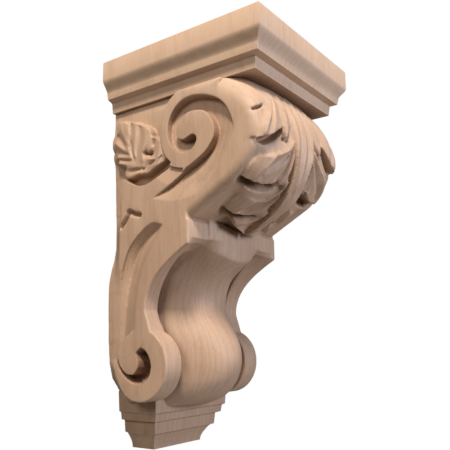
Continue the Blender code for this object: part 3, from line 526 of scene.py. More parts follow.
SIDE_LEAF_LINES = (
    # outline at the leaf's top height, then the foot of its upper edge
    ((59.3, 37.3, 6), (52.5, 34.7, 7), (50.9, 29.1, 7.2), (47.2, 25.1, 7), (39.2, 20.9, 7),
     (34, 17.7, 7.2), (27.4, 15.7, 7), (23.3, 15.8, 6.6), (16.9, 12.5, 6.8), (10.9, 11.7, 6.4),
     (7.7, 16.1, 6), (8.5, 22.1, 6)),
    ((61.5, 36.2, 0), (53.5, 33.4, 0), (52.5, 28.3, 0), (48.1, 23.8, 0), (39.6, 19.4, 0), (34.2, 16.1, 0),
     (27.2, 14.1, 0), (23.7, 14.2, 0), (17.3, 11, 0), (9.5, 10, 0), (6.4, 14, 0), (6.4, 19.7, 0)),
    ((0.2, 21.5, 0.6), (3.4, 22.1, 2.4)),
    ((0, 39, 1), (3.6, 40, 3)),
    # the lower fold that curls out of the volute, its foot, its crest and the cut above it
    ((68.3, 58.7, 7.4), (61, 62.4, 7.6), (52.6, 66.1, 7.6), (47.5, 67.9, 7.6), (35.1, 67.1, 7.4),
     (27.6, 68.7, 7), (21.3, 67.9, 6.6), (18.6, 64.3, 6.4), (19.6, 60, 6.4)),
    ((69.3, 60.1, 0), (61.8, 63.7, 0), (53.3, 67.3, 0), (47.6, 69.4, 0), (35.2, 68.6, 0), (28.2, 70.4, 0),
     (21.1, 69.5, 0), (16.8, 64.2, 0), (17.9, 59.2, 0), (15.5, 58.6, 0), (8.9, 55, 0), (0.7, 49.4, 1)),
    ((65.7, 58.4, 8.2), (56.5, 62.9, 8.2), (49.6, 66, 8), (38.1, 65.6, 7.8), (28.8, 65.8, 7.4),
     (22.3, 65.9, 7)),
    ((58.6, 56.2, 5), (49.8, 60.6, 4.6), (44.4, 62, 4.4), (34.1, 61.1, 4.6), (28.2, 61.4, 5),
     (23.4, 62.3, 5.6)),
    ((61.8, 55, 8.6), (56.8, 59.2, 8.6), (51.2, 61.4, 8.4), (41.9, 61.7, 8.2), (33.8, 60.5, 8),
     (21, 58.4, 7)),
    # pocket at the heart and its rim
    ((43.2, 48.5, 1.4), (47.2, 49.9, 1), (51.2, 49.4, 1.4)),
    ((52.9, 42.6, 3.4), (53.5, 37.5, 5.2)),
    ((51.7, 36.1, 7.2), (51.8, 42.7, 7.2), (48.8, 47.4, 7.4), (46.5, 51, 7.4)),
    ((47.5, 54.1, 7.8), (53, 56.6, 8.2), (58.7, 56.3, 8.4), (61.9, 52.3, 8.2), (62.7, 46.4, 7.6),
     (61.1, 39.4, 6.4)),
    # two long flutes and the crests beside them
    ((26.3, 16.2, 5.4), (25.3, 24.8, 5.2), (25.3, 35.2, 5.4), (27, 43.9, 5.8), (32, 54.7, 6.8)),
    ((37.7, 21.4, 5.6), (36.8, 30.9, 5.6), (35, 38.8, 6), (33.4, 46.7, 6.4), (35, 54.7, 7.4)),
    ((23.7, 17.3, 7), (25, 28.9, 7.8), (25, 39.3, 8), (27.5, 50.1, 8.2)),
    ((33.3, 18.9, 7.4), (33.4, 30.8, 8), (32, 40.8, 8.2), (33, 49.8, 8.2)),
    ((45, 25.7, 7.4), (46, 35.7, 8.2), (43.4, 45.4, 8.8), (42.6, 55.9, 9)),
    # three side lobes, the cuts between them and a fold in the lowest
    ((13.4, 14.2, 7), (16.5, 23.5, 7.4), (22, 33.8, 7.8)),
    ((6.4, 23, 3.6), (12.6, 29.9, 4.8), (19.3, 38.3, 6.2)),
    ((6.7, 31.7, 7), (13.7, 37.2, 7.6), (23.3, 43.8, 8)),
    ((5.2, 40.5, 4), (14.4, 43.2, 5.4), (24.2, 46.5, 6.8)),
    ((8.9, 45.9, 7.2), (18.6, 48.2, 7.6), (26.9, 50.7, 8)),
    ((10.1, 47.8, 5.6), (18.3, 50.1, 5.4), (26.7, 52.3, 6.4)),
    ((10, 51.9, 7.2), (19.7, 54.6, 7.6), (29.2, 57.1, 8)),
)


STRIP_STEPS = 260
STRIP_SHARES = 41
STRIP_MARGIN = 2.5
STRIP_NEIGHBOURS = 4
STRIP_SOFTNESS = 0.05


def strip_cut(outs, drops, wall, rim, wall_depths, rim_depths):
    """Distance to the strip between two edge lines, and the depth that its floor is cut to."""
    wall_line = flowing([p + (q,) for p, q in zip(wall, wall_depths)], STRIP_STEPS)
    rim_line = flowing([p + (q,) for p, q in zip(rim, rim_depths)], STRIP_STEPS)
    outline = np.vstack((wall_line[:, :2], rim_line[::-1, :2]))
    distance = outline_distance(outs, drops, outline[::2])[0]
    tree = kdtree.KDTree(STRIP_STEPS * STRIP_SHARES)
    depths = []
    for i in range(STRIP_STEPS):
        for share in np.linspace(0.0, 1.0, STRIP_SHARES):
            place = wall_line[i] * (1 - share) + rim_line[i] * share
            tree.insert((place[0], place[1], 0.0), len(depths))
            depths.append(place[2])
    tree.balance()
    depth = np.zeros(distance.shape, np.float32)
    for i, j in zip(*np.nonzero(distance < STRIP_MARGIN)):
        near = tree.find_n((outs[i], drops[j], 0.0), STRIP_NEIGHBOURS)
        weights = [1.0 / (gap + STRIP_SOFTNESS) for _, _, gap in near]
        depth[i, j] = sum(w * depths[k] for w, (_, k, _) in zip(weights, near)) / sum(weights)
    return distance, depth


def line_distance(outs, drops, line):
    """Distance from each grid place to an open line."""
    o = outs[:, None]
    d = drops[None, :]
    best = np.full((len(outs), len(drops)), 1e9)
    for a, b in zip(line, line[1:]):
        along = b - a
        t = np.clip(((o - a[0]) * along[0] + (d - a[1]) * along[1]) / (along @ along), 0.0, 1.0)
        best = np.minimum(best, np.hypot(o - a[0] - t * along[0], d - a[1] - t * along[1]))
    return best


def lookup(table, step, first, second):
    """Read a height table between its steps."""
    i = np.clip(first / step, 0, table.shape[0] - 1.001)
    j = np.clip(second / step, 0, table.shape[1] - 1.001)
    i0 = i.astype(int)
    j0 = j.astype(int)
    fi = i - i0
    fj = j - j0
    upper = table[i0, j0] * (1 - fj) + table[i0, j0 + 1] * fj
    lower = table[i0 + 1, j0] * (1 - fj) + table[i0 + 1, j0 + 1] * fj
    return upper * (1 - fi) + lower * fi


def profile_out(points, drops):
    """How far out a side profile stands at each drop."""
    order = np.argsort(points[:, 1], kind="stable")
    return np.interp(drops, points[order, 1], points[order, 0])


BULGE_BACK = ((80.0, 116.0), (-WALL_OVERCUT, 116.0), (-WALL_OVERCUT, -INTO_NECK))
BULGE_BOTTOM = 128.0
ROUND_RUN = 45.0
LEAF_EDGE = 73.0
LEAF_FADE = 4.0
TONGUE_TOP = 113.0
TONGUE_WIDENS = (140.0, 20.0)
TONGUE_ROUNDS = (138.0, 24.0)
TONGUE_POWER = 2.0
LIP_POWER = 4.0
SWEEP_ENDS = (150.0, 30.0)
VALLEY_BELOW = (
    (45.2, 200.0), (47.0, 215.0), (48.0, 234.0), (46.0, 250.0), (40.0, 262.0), (34.0, 268.0),
)
VALLEY_FALL = 1.6
VALLEY_FALL_WIDTH = 20.0
EAR_CREST = 66.0
EAR_WIDTH = 21.0
EAR_LEAN = 0.72
EAR_LEAN_MOST = 2.2
EAR_GAP_MOST = 12.0
EAR_LEAN_ENDS = (196.0, 8.0)
LIP_EAR_INWARD = 16.0
LIP_EAR_ENDS = (132.0, 8.0)
THROAT_GROOVE = 2.5
GROOVE_BEGINS = (136.0, 10.0)
GROOVE_ENDS = (194.0, 26.0)
EAR_INNER_ROUND = 1.6
EAR_OUTER_ROUND = 1.2
EAR_FILLET = 1.8
BULGE_FILLET = 1.0


def front_field(across, outs, drops):
    """Distances to the bulge with its leaf, the throat's ears, the tongue and the lower scrolls."""
    x = across[:, None, None]
    o = outs[None, :, None].astype(np.float32)
    flat, along = outline_distance(outs, drops, np.vstack((bulge_line, BULGE_BACK)))
    along = np.clip(along, 0.0, bulge_run[-1]) - neck_run
    rounding = TOP_ROUND + (CHEEK_ROUND - TOP_ROUND) * smooth(along / ROUND_RUN)
    cheek = CHEEK_HALF - CHEEK_LEAN * drops / body_drop
    side = x - cheek[None, None, :]
    whole = (len(across),) + flat.shape
    relief = lookup(leaf_table, LEAF_STEP, np.broadcast_to(x, whole), np.broadcast_to(along[None], whole))
    lifted = (relief * smooth((LEAF_EDGE - x) / LEAF_FADE)).astype(np.float32)
    field = rounded_max(flat[None] - lifted, side, rounding[None]).astype(np.float32)
    field = np.maximum(field, (drops[None, None, :] - BULGE_BOTTOM))

    tongue = np.vstack((
        flowing(TONGUE_LIP, 30),
        bezier(TONGUE_HOLLOW, 40)[1:],
        bezier(TONGUE_SWELL, 40)[1:],
        bezier(TONGUE_UNDER, 60)[1:],
    ))
    valley_out = profile_out(np.vstack((bezier(VALLEY_HOLLOW, 40), VALLEY_BELOW)), drops)
    half = LIP_HALF + (TONGUE_HALF - LIP_HALF) * ramp(drops, *TONGUE_WIDENS)
    power = LIP_POWER + (TONGUE_POWER - LIP_POWER) * ramp(drops, *TONGUE_ROUNDS)
    share = np.clip(across[:, None] / half[None], 0.0, 1.0)
    swept = drops[None] + LIP_SWEEP * share ** 2 * (1.0 - ramp(drops[None], *SWEEP_ENDS))
    tongue_out = profile_out(tongue, swept)
    front = valley_out + (tongue_out - valley_out) * (1.0 - share ** power) ** TONGUE_FULLNESS
    front -= VALLEY_FALL * np.clip(across[:, None] - half[None], 0.0, VALLEY_FALL_WIDTH)
    slope_x = np.gradient(front, across[2] - across[1], axis=0)
    slope_d = np.gradient(front, drops, axis=1)
    steep = np.sqrt(1.0 + slope_x ** 2 + slope_d ** 2)
    tongue_field = (o - front[:, None, :]) / steep[:, None, :]
    tongue_field = np.maximum(tongue_field, (TONGUE_TOP - drops)[None, None, :])

    ear_flat = outline_distance(outs, drops, ear_profile)[0]
    gap = profile_out(bezier(EAR_HOLLOW, 40), drops) - profile_out(bezier(VALLEY_HOLLOW, 40), drops)
    gap *= 1.0 - ramp(drops, *EAR_LEAN_ENDS)
    lean = np.clip((EAR_CREST - x) / EAR_WIDTH, 0.0, EAR_LEAN_MOST)
    lean = lean * np.clip(gap, 0.0, EAR_GAP_MOST)[None, None, :] * EAR_LEAN
    inner_edge = ROLL_INNER - LIP_EAR_INWARD * (1.0 - ramp(drops, *LIP_EAR_ENDS))
    groove = THROAT_GROOVE * ramp(drops, *GROOVE_BEGINS) * (1.0 - ramp(drops, *GROOVE_ENDS))
    inner_edge = inner_edge + groove
    ear_field = rounded_max(ear_flat[None] + lean, inner_edge[None, None, :] - x, EAR_INNER_ROUND)
    ear_field = rounded_max(ear_field, side, EAR_OUTER_ROUND)
    lower = rounded_min(tongue_field, ear_field, EAR_FILLET)
    return rounded_min(field, lower, BULGE_FILLET).astype(np.float32), side


def side_region(outs, drops):
    """Distance to what is cut back on a cheek, and to the lower disc that stays."""
    angle, radius = np.array(VOLUTE_OUTLINE, float).T
    fine = np.linspace(angle[0], angle[-1], 40)
    reach = np.interp(fine, angle, radius)
    volute_out = EYE[0] + reach * np.cos(np.radians(fine))
    volute_drop = EYE[1] - reach * np.sin(np.radians(fine))
    outline = np.vstack((
        FIELD_START,
        np.stack((volute_out, volute_drop), axis=1),
        flowing(FIELD_EDGE, 60),
        flowing(REAR_EDGE, 120),
        FIELD_END,
    ))
    region = outline_distance(outs, drops, outline)[0]
    disc = DISC_RADIUS + DISC_SAG * ramp(drops[None, :], *DISC_SAG_RUN)
    disc = disc - np.hypot(outs[:, None] - DISC_EYE[0], drops[None, :] - DISC_EYE[1])
    lower_rear = np.maximum(outs[:, None] - DISC_EYE[0], LOWER_REAR_TOP - drops[None, :])
    return np.maximum(np.minimum(region, lower_rear), disc), disc


def side_floor(outs, drops, cheek):
    """How far across the field, the rear strip and the side leaf stand."""
    rear = np.interp(drops, *zip(*REAR_HALF))
    plain = FIELD_HALF - FIELD_LEAN * drops / (body_drop / 2)
    half_chord = np.sqrt(np.maximum(DISC_RADIUS ** 2 - (drops - DISC_EYE[1]) ** 2, 0.0))
    strip_width = np.where(drops < REAR_MEETS_DISC, REAR_WIDTH, DISC_EYE[0] - half_chord)
    forward = smooth(outs[:, None] / strip_width[None, :])
    bank = ramp(drops, *BANK_BEGINS) * (1.0 - ramp(drops, *BANK_ENDS)) + ramp(drops, *BANK_RETURNS)
    base = np.where(drops < REAR_HALF[0][0], plain, rear)[None, :]
    floor = base + (cheek[None, :] - base) * forward * bank[None, :]
    leaf = relax_between(SIDE_LEAF_LINES, LEAF_STEP, SIDE_LEAF_OUT, SIDE_LEAF_DOWN, False)
    leaf = eased(leaf, 1)
    o = np.broadcast_to(outs[:, None], floor.shape)
    d = np.broadcast_to(drops[None, :], floor.shape)
    in_leaf = (o < SIDE_LEAF_FRONT) & (d > SIDE_LEAF_TOP) & (d < SIDE_LEAF_FOOT)
    height = np.maximum(lookup(leaf, LEAF_STEP, o, d), 0.0)
    return floor + np.where(in_leaf, height, 0.0)


GROOVES = (
    # wall line, rim line, their depths, and whether the cut keeps off the lower disc
    (WALL_FOOT, GROOVE_RIM, WALL_DEPTHS, RIM_DEPTHS, False),
    (STEM_WALL, STEM_RIM, STEM_DEPTHS, STEM_RIM_DEPTHS, False),
    (CHANNEL_WALL, CHANNEL_DEEP, CHANNEL_WALL_DEPTHS, CHANNEL_DEPTHS, True),
    (CHANNEL_DEEP, CHANNEL_RIM, CHANNEL_DEPTHS, CHANNEL_RIM_DEPTHS, True),
    (CURL_INNER, CURL_OUTER, CURL_DEPTHS, CURL_DEPTHS, False),
)


def side_cuts(field, across, outs, drops):
    """Take the side field, the rear strip, the grooves and the mark out of the cheeks."""
    x = across[:, None, None]
    cheek = CHEEK_HALF - CHEEK_LEAN * drops / body_drop

    def cut(region, floor, ease):
        """Remove what lies inside a region and beyond its floor."""
        floor = floor.astype(np.float32)
        return np.maximum(field, -rounded_max(region[None], floor[None] - x, ease))

    region, disc = side_region(outs, drops)
    field = cut(region, side_floor(outs, drops, cheek), CUT_EASE)
    for wall, rim, wall_depths, rim_depths, keeps_off_disc in GROOVES:
        region, depth = strip_cut(outs, drops, wall, rim, wall_depths, rim_depths)
        if keeps_off_disc:
            region = np.maximum(region, disc)
        field = cut(region, cheek[None, :] - depth, CUT_EASE)
    mark = line_distance(outs, drops, flowing(MARK_LINE, 30))
    mark_floor = cheek[None, :] - MARK_DEPTH * (1.0 - mark / MARK_WIDTH)
    return cut((mark - MARK_WIDTH).astype(np.float32), mark_floor, MARK_EASE)


FILL_ROUNDS = 12
JUST_INSIDE = -0.02


def without_touching_corners(field):
    """Fill the few places where wood meets wood only along an edge, so that the skin stays closed."""
    for _ in range(FILL_ROUNDS):
        changed = 0
        for axis in range(3):
            s, t = [k for k in range(3) if k != axis]
            corners = []
            for a, b in ((0, 0), (1, 0), (1, 1), (0, 1)):
                part = [slice(None)] * 3
                part[s] = slice(a, field.shape[s] - 1 + a)
                part[t] = slice(b, field.shape[t] - 1 + b)
                corners.append(field[tuple(part)])
            solid = [corner < 0.0 for corner in corners]
            touching = (solid[0] == solid[2]) & (solid[1] == solid[3]) & (solid[0] != solid[1])
            changed += int(touching.sum())
            for corner, full in zip(corners, solid):
                corner[touching & ~full] = JUST_INSIDE
        if not changed:
            break
    return field


def skin_of(field, across, outs, drops):
    """Closed quads round the solid part of a half field, mirrored over the middle plane."""
    shape = np.array(field.shape)
    cells = shape - 1
    solid = field < 0.0
    nodes = (across, outs, drops)
    total = int(np.prod(cells))
    sums = [np.zeros(total) for _ in range(3)]
    count = np.zeros(total)
    quads = []
    for axis in range(3):
        near = [slice(None)] * 3
        far = [slice(None)] * 3
        near[axis] = slice(0, -1)
        far[axis] = slice(1, None)
        near = tuple(near)
        far = tuple(far)
        index = np.nonzero(solid[near] != solid[far])
        a = field[near][index]
        b = field[far][index]
        share = a / (a - b)
        place = [nodes[k][index[k]].astype(float) for k in range(3)]
        place[axis] = place[axis] + share * (nodes[axis][1] - nodes[axis][0])
        others = [k for k in range(3) if k != axis]
        corners = []
        for s, t in ((0, 0), (1, 0), (1, 1), (0, 1)):
            cell = [index[0].copy(), index[1].copy(), index[2].copy()]
            cell[others[0]] = cell[others[0]] - s
            cell[others[1]] = cell[others[1]] - t
            good = np.all([(cell[k] >= 0) & (cell[k] < cells[k]) for k in range(3)], axis=0)
            number = (cell[0] * cells[1] + cell[1]) * cells[2] + cell[2]
            number = np.where(good, number, -1)
            for k in range(3):
                sums[k] += np.bincount(number[good], place[k][good], total)
            count += np.bincount(number[good], minlength=total)
            corners.append(number)
        faces = np.stack(corners, axis=1)
        leaving = a < 0
        flip = ~leaving if axis != 1 else leaving
        faces[flip] = faces[flip][:, ::-1]
        keep = np.all(faces >= 0, axis=1)
        if axis != 0:
            keep &= index[0] > 0
        quads.append(faces[keep])
    quads = np.vstack(quads)
    used = np.unique(quads)
    number = np.full(total, -1)
    number[used] = np.arange(len(used))
    points = np.stack([s[used] / count[used] for s in sums], axis=1)
    quads = number[quads]
    middle = (used // (cells[1] * cells[2])) == 0
    points[middle, 0] = 0.0
    twin = np.where(middle, np.arange(len(used)), len(used) + np.cumsum(~middle) - 1)
    mirrored = points[~middle] * (-1.0, 1.0, 1.0)
    points = np.vstack((points, mirrored))
    quads = np.vstack((quads, twin[quads][:, ::-1]))
    return points, quads


GRID_HALF = 73.0
GRID_OUT = 177.0
GRID_BELOW = 10.0
GRID_ABOVE = 6.3
BODY_ABOVE = 4.0
NECK_INSIDE = 60.0
NECK_BEGINS = 0.4
NARROWS_AT = 266.0
INSIDE_BLOCK = 4.0
ABOVE_STEPS = 3.0


def carve_body():
    """The carved body as a mesh object in the frame's metres."""
    g = GRID_MM
    across = (np.arange(int(GRID_HALF / g) + 2) - 0.5) * g
    outs = (np.arange(int(GRID_OUT / g) + 2) - 0.5) * g
    drops = (np.arange(int((body_drop + GRID_BELOW) / g) + 2) - 0.5) * g - GRID_ABOVE
    span = np.abs(across).astype(np.float32)
    field, side = front_field(span, outs, drops)
    field = np.maximum(field, side)
    field = side_cuts(field, span, outs, drops)
    field = np.maximum(field, -outs[None, :, None].astype(np.float32))
    field = np.maximum(field, (-BODY_ABOVE - drops)[None, None, :].astype(np.float32))
    # the cheeks end under the neck band, and only the middle of the body goes on up into it
    outside = span[:, None, None] - NECK_INSIDE
    field = np.where(drops[None, None, :] < NECK_BEGINS, np.maximum(field, outside), field)
    # at the foot the body ends inside the block that it stands on
    from_side = span[:, None] - (BLOCK_HALF - INSIDE_BLOCK)
    block = np.maximum(from_side, drops[None, :] - (body_drop - ABOVE_STEPS))
    at_foot = drops[None, None, :] > NARROWS_AT
    field = np.where(at_foot, np.maximum(field, block[:, None, :]), field)
    field = without_touching_corners(np.ascontiguousarray(field, np.float32))
    points, quads = skin_of(field, across, outs, drops)
    points = np.stack((points[:, 0], -points[:, 1], body_top - points[:, 2]), axis=1) * MM
    mesh = bpy.data.meshes.new("carved_body")
    mesh.from_pydata(points.tolist(), [], quads.tolist())
    mesh.validate()
    item = bpy.data.objects.new("carved_body", mesh)
    bpy.context.scene.collection.objects.link(item)
    return item


def settle(item):
    """Keep what an object's modifiers make as its own mesh."""
    bpy.context.view_layer.update()
    seen = item.evaluated_get(bpy.context.evaluated_depsgraph_get())
    mesh = bpy.data.meshes.new_from_object(seen)
    item.modifiers.clear()
    item.data = mesh


TRIANGLE_BUDGET = 185000
SHARP_ANGLE = math.radians(38)

corbel = carve_body()
triangles = sum(len(p.vertices) - 2 for p in corbel.data.polygons)
print("carved body triangles", triangles)
if triangles > TRIANGLE_BUDGET:
    lighten = corbel.modifiers.new("lighten", "DECIMATE")
    lighten.ratio = TRIANGLE_BUDGET / triangles
    settle(corbel)
for name, levels in (("cap", cap_levels()), ("foot", foot_levels())):
    part = stepped_block(name, levels)
    union = corbel.modifiers.new("join", "BOOLEAN")
    union.operation = "UNION"
    union.solver = "MANIFOLD"
    union.object = part
    settle(corbel)
    bpy.data.objects.remove(part, do_unlink=True)
corbel.name = "carved_block"
corbel.data.name = "carved_block"
corbel.data.shade_smooth()
corbel.data.set_sharp_from_angle(angle=SHARP_ANGLE)
print("carved block triangles", sum(len(p.vertices) - 2 for p in corbel.data.polygons))


# Cherry, planed and sanded but not yet oiled: a soft reddish tan with fine straight grain, faint growth
# rings and small dark pores. It is dull, with only a faint sheen. The hollows between the gouge cuts get
# painted shade as a browner colour, and the wood is paler towards the top, over the cap.
def linear(code):
    """An sRGB hex colour as linear red, green, blue and full cover."""
    parts = [int(code[i:i + 2], 16) / 255 for i in (1, 3, 5)]
    return tuple(c / 12.92 if c <= 0.04045 else ((c + 0.055) / 1.055) ** 2.4 for c in parts) + (1.0,)


def add(tree, kind, settings=None, **links):
    """Add a node with its settings; a link's name is the socket's, with its spaces as underscores."""
    node = tree.nodes.new(kind)
    for name, value in (settings or {}).items():
        if isinstance(name, int) or name in node.inputs:
            node.inputs[name].default_value = value
        else:
            setattr(node, name, value)
    for name, source in links.items():
        if name.startswith("in") and name[2:].isdigit():
            socket = node.inputs[int(name[2:])]
        else:
            socket = node.inputs[name.replace("_", " ")]
        tree.links.new(source, socket)
    return node


EARLY_WOOD = "#C9AB91"
LATE_WOOD = "#AB8A71"
PORE_WOOD = "#8A6146"
# painted shade: the browner colour painted into hollows where nearby wood shuts out the light
PAINTED_SHADE_WOOD = "#6B452C"
RING_MM = 6.5
RING_TONES = ((0.0, 0.15), (0.35, 0.22), (0.86, 1.0), (1.0, 0.15))
PITH_MM = (210.0, -70.0)
WANDER_MM = 62.5
WANDER_REACH_MM = 60.0
CLOUD_MM = 22.22
# Real fibres and pores are a tenth of these sizes, too fine for the render, so they are drawn coarser.
FIBRE_MM = 0.909
PORE_MM = 1.111
SQUEEZE_ALONG_GRAIN = {"wander": 0.16, "fibre": 0.035, "cloud": 0.22, "pore": 0.06}
RING_WEIGHT = 0.17
FIBRE_WEIGHT = 0.55
CLOUD_WEIGHT = 0.5
CAP_PALER = -0.32
CAP_PALER_FROM_MM = 95.0
CAP_PALER_TO_MM = 135.0
TONE_LOW = 0.22
TONE_HIGH = 0.86
# painted shade: how far the occlusion looks, in metres, and how much it browns the hollows
PAINTED_SHADE_REACH_M = 0.02
PAINTED_SHADE_WEIGHT = 0.62
PORE_WEIGHT = 0.5


def cherry():
    """Bare cherry, with growth rings about a pith beyond the right cheek."""
    material = bpy.data.materials.new("bare_cherry")
    material.use_nodes = True
    tree = material.node_tree
    shader = tree.nodes["Principled BSDF"]
    place = add(tree, "ShaderNodeTexCoord").outputs["Object"]
    in_mm = add(tree, "ShaderNodeVectorMath", {"operation": "SCALE", "Scale": 1 / MM}, in0=place).outputs[0]
    along_grain = {}
    for pattern, squeeze in SQUEEZE_ALONG_GRAIN.items():
        scaling = {"operation": "MULTIPLY", 1: (1.0, 1.0, squeeze)}
        along_grain[pattern] = add(tree, "ShaderNodeVectorMath", scaling, in0=in_mm).outputs[0]

    # growth rings: the wandering distance from the pith, as a share of a ring
    wander = add(tree, "ShaderNodeTexNoise", {"Scale": 1 / WANDER_MM, "Detail": 4.0, "Roughness": 0.55},
                 Vector=along_grain["wander"]).outputs["Fac"]
    shift = add(tree, "ShaderNodeMath",
                {"operation": "MULTIPLY_ADD", 1: WANDER_REACH_MM, 2: -WANDER_REACH_MM / 2},
                in0=wander).outputs[0]
    split = add(tree, "ShaderNodeSeparateXYZ", Vector=in_mm)
    from_x = add(tree, "ShaderNodeMath", {"operation": "SUBTRACT", 1: PITH_MM[0]},
                 in0=split.outputs["X"]).outputs[0]
    from_y = add(tree, "ShaderNodeMath", {"operation": "SUBTRACT", 1: PITH_MM[1]},
                 in0=split.outputs["Y"]).outputs[0]
    square_x = add(tree, "ShaderNodeMath", {"operation": "MULTIPLY"}, in0=from_x, in1=from_x).outputs[0]
    square_y = add(tree, "ShaderNodeMath", {"operation": "MULTIPLY"}, in0=from_y, in1=from_y).outputs[0]
    squares = add(tree, "ShaderNodeMath", {"operation": "ADD"}, in0=square_x, in1=square_y).outputs[0]
    radius = add(tree, "ShaderNodeMath", {"operation": "SQRT"}, in0=squares).outputs[0]
    wandering = add(tree, "ShaderNodeMath", {"operation": "ADD"}, in0=radius, in1=shift).outputs[0]
    ring = add(tree, "ShaderNodeMath", {"operation": "DIVIDE", 1: RING_MM}, in0=wandering).outputs[0]
    stage = add(tree, "ShaderNodeMath", {"operation": "FRACT"}, in0=ring).outputs[0]
    band = add(tree, "ShaderNodeValToRGB", in0=stage)
    tones = band.color_ramp.elements
    tones[1].position = RING_TONES[-1][0]
    for position, _ in RING_TONES[1:-1]:
        tones.new(position)
    for element, (_, tone) in zip(tones, RING_TONES):
        element.color = (tone, tone, tone, 1.0)

    # tone: rings, fibres and broad clouds together, paler towards the cap
    fibre = add(tree, "ShaderNodeTexNoise", {"Scale": 1 / FIBRE_MM, "Detail": 4.0, "Roughness": 0.62},
                Vector=along_grain["fibre"]).outputs["Fac"]
    cloud = add(tree, "ShaderNodeTexNoise", {"Scale": 1 / CLOUD_MM, "Detail": 2.0, "Roughness": 0.5},
                Vector=along_grain["cloud"]).outputs["Fac"]
    ringed = add(tree, "ShaderNodeMath", {"operation": "MULTIPLY", 1: RING_WEIGHT},
                 in0=band.outputs["Color"]).outputs[0]
    fibred = add(tree, "ShaderNodeMath", {"operation": "MULTIPLY_ADD", 1: FIBRE_WEIGHT},
                 in0=fibre, in2=ringed).outputs[0]
    height_up = add(tree, "ShaderNodeMapRange",
                    {"From Min": CAP_PALER_FROM_MM, "From Max": CAP_PALER_TO_MM,
                     "To Min": 0.0, "To Max": CAP_PALER},
                    Value=split.outputs["Z"]).outputs["Result"]
    paler = add(tree, "ShaderNodeMath", {"operation": "ADD"}, in0=fibred, in1=height_up).outputs[0]
    toned = add(tree, "ShaderNodeMath", {"operation": "MULTIPLY_ADD", 1: CLOUD_WEIGHT},
                in0=cloud, in2=paler).outputs[0]
    share = add(tree, "ShaderNodeMapRange", {"From Min": TONE_LOW, "From Max": TONE_HIGH},
                Value=toned).outputs["Result"]
    wood = add(tree, "ShaderNodeMix", {"data_type": "RGBA", 6: linear(EARLY_WOOD), 7: linear(LATE_WOOD)},
               in0=share).outputs[2]

    # painted shade: the hollows are browned where occlusion finds wood close around; then the pores
    open_sky = add(tree, "ShaderNodeAmbientOcclusion",
                   {"samples": 8, "Distance": PAINTED_SHADE_REACH_M}).outputs["AO"]
    painted_shade = add(tree, "ShaderNodeMapRange",
                 {"From Min": 0.25, "From Max": 0.75, "To Min": PAINTED_SHADE_WEIGHT, "To Max": 0.0},
                 Value=open_sky).outputs["Result"]
    wood = add(tree, "ShaderNodeMix", {"data_type": "RGBA", 7: linear(PAINTED_SHADE_WOOD)},
               in0=painted_shade, in6=wood).outputs[2]
    pores = add(tree, "ShaderNodeTexVoronoi", {"feature": "F1", "Scale": 1 / PORE_MM, "Randomness": 1.0},
                Vector=along_grain["pore"]).outputs["Distance"]
    pore = add(tree, "ShaderNodeMapRange",
               {"From Min": 0.07, "From Max": 0.2, "To Min": PORE_WEIGHT, "To Max": 0.0},
               Value=pores).outputs["Result"]
    pored = add(tree, "ShaderNodeMix", {"data_type": "RGBA", 7: linear(PORE_WOOD)},
                in0=pore, in6=wood).outputs[2]
    tree.links.new(pored, shader.inputs["Base Color"])

    # sheen and the feel of the open grain
    rough = add(tree, "ShaderNodeMapRange", {"To Min": 0.5, "To Max": 0.66}, Value=fibre).outputs["Result"]
    tree.links.new(rough, shader.inputs["Roughness"])
    height = add(tree, "ShaderNodeMath", {"operation": "SUBTRACT"}, in0=fibre, in1=pore).outputs[0]
    bump = add(tree, "ShaderNodeBump", {"Strength": 0.12, "Distance": 0.0004}, Height=height)
    tree.links.new(bump.outputs["Normal"], shader.inputs["Normal"])
    shader.inputs["Metallic"].default_value = 0.0
    shader.inputs["IOR"].default_value = 1.5
    shader.inputs["Specular IOR Level"].default_value = 0.5
    return material


corbel.data.materials.clear()
corbel.data.materials.append(cherry())
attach(corbel, "root")
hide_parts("corbel")

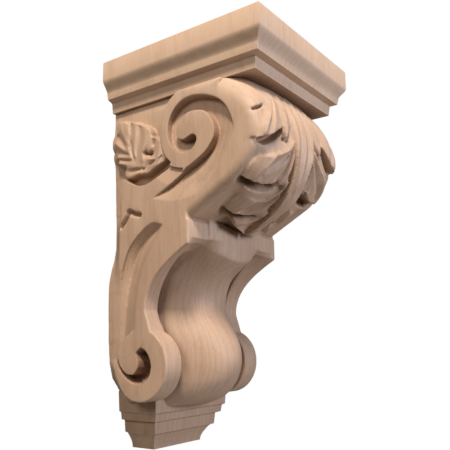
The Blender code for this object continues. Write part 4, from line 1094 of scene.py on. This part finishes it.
# The studio: a plain pale floor well below the bracket, a white surround and three broad soft lights.
# The surround is white to the camera alone and lights the wood only dimly, so the lights model it.
FLOOR_Z = -1.15
FLOOR_HALF = 1.4
FLOOR_COLOUR = "#E8E6E2"
FLOOR_ROUGHNESS = 0.8
SURROUND_COLOUR = "#F4F1EC"
SURROUND_STRENGTH = 0.05
LIGHT_AIM = (0.0, -0.08, 0.0)
LIGHTS = (
    # name, place, side of the square in metres, watts and colour
    ("key", (-0.84, -0.70, 1.25), 0.30, 31.5, "#FFF6EC"),
    ("front", (0.36, -1.25, 0.18), 0.45, 11.6, "#E4EAFA"),
    ("left_fill", (-1.35, -0.25, 0.62), 0.5, 6.8, "#FFF8F0"),
)

bpy.ops.mesh.primitive_plane_add(size=2 * FLOOR_HALF, location=(0.0, 0.0, FLOOR_Z))
floor = bpy.context.object
floor.name = "studio_floor"
floor_material = bpy.data.materials.new("pale_floor")
floor_material.use_nodes = True
floor_shader = floor_material.node_tree.nodes["Principled BSDF"]
floor_shader.inputs["Base Color"].default_value = linear(FLOOR_COLOUR)
floor_shader.inputs["Roughness"].default_value = FLOOR_ROUGHNESS
floor.data.materials.append(floor_material)

world = bpy.data.worlds.new("white_surround")
bpy.context.scene.world = world
world.use_nodes = True
surround = world.node_tree
for node in list(surround.nodes):
    surround.nodes.remove(node)
seen = add(surround, "ShaderNodeBackground", {"Color": (1.0, 1.0, 1.0, 1.0), "Strength": 1.0})
lighting = add(surround, "ShaderNodeBackground",
               {"Color": linear(SURROUND_COLOUR), "Strength": SURROUND_STRENGTH})
ray = add(surround, "ShaderNodeLightPath").outputs["Is Camera Ray"]
choice = add(surround, "ShaderNodeMixShader", in0=ray, in1=lighting.outputs[0], in2=seen.outputs[0])
add(surround, "ShaderNodeOutputWorld", Surface=choice.outputs[0])

for name, place, size, power, colour in LIGHTS:
    light = bpy.data.lights.new(name, "AREA")
    light.shape = "SQUARE"
    light.size = size
    light.energy = power
    light.color = linear(colour)[:3]
    lamp = bpy.data.objects.new(name, light)
    lamp.location = place
    facing = Vector(LIGHT_AIM) - Vector(place)
    lamp.rotation_euler = facing.to_track_quat("-Z", "Y").to_euler()
    bpy.context.scene.collection.objects.link(lamp)

bpy.context.scene.view_settings.view_transform = "Standard"
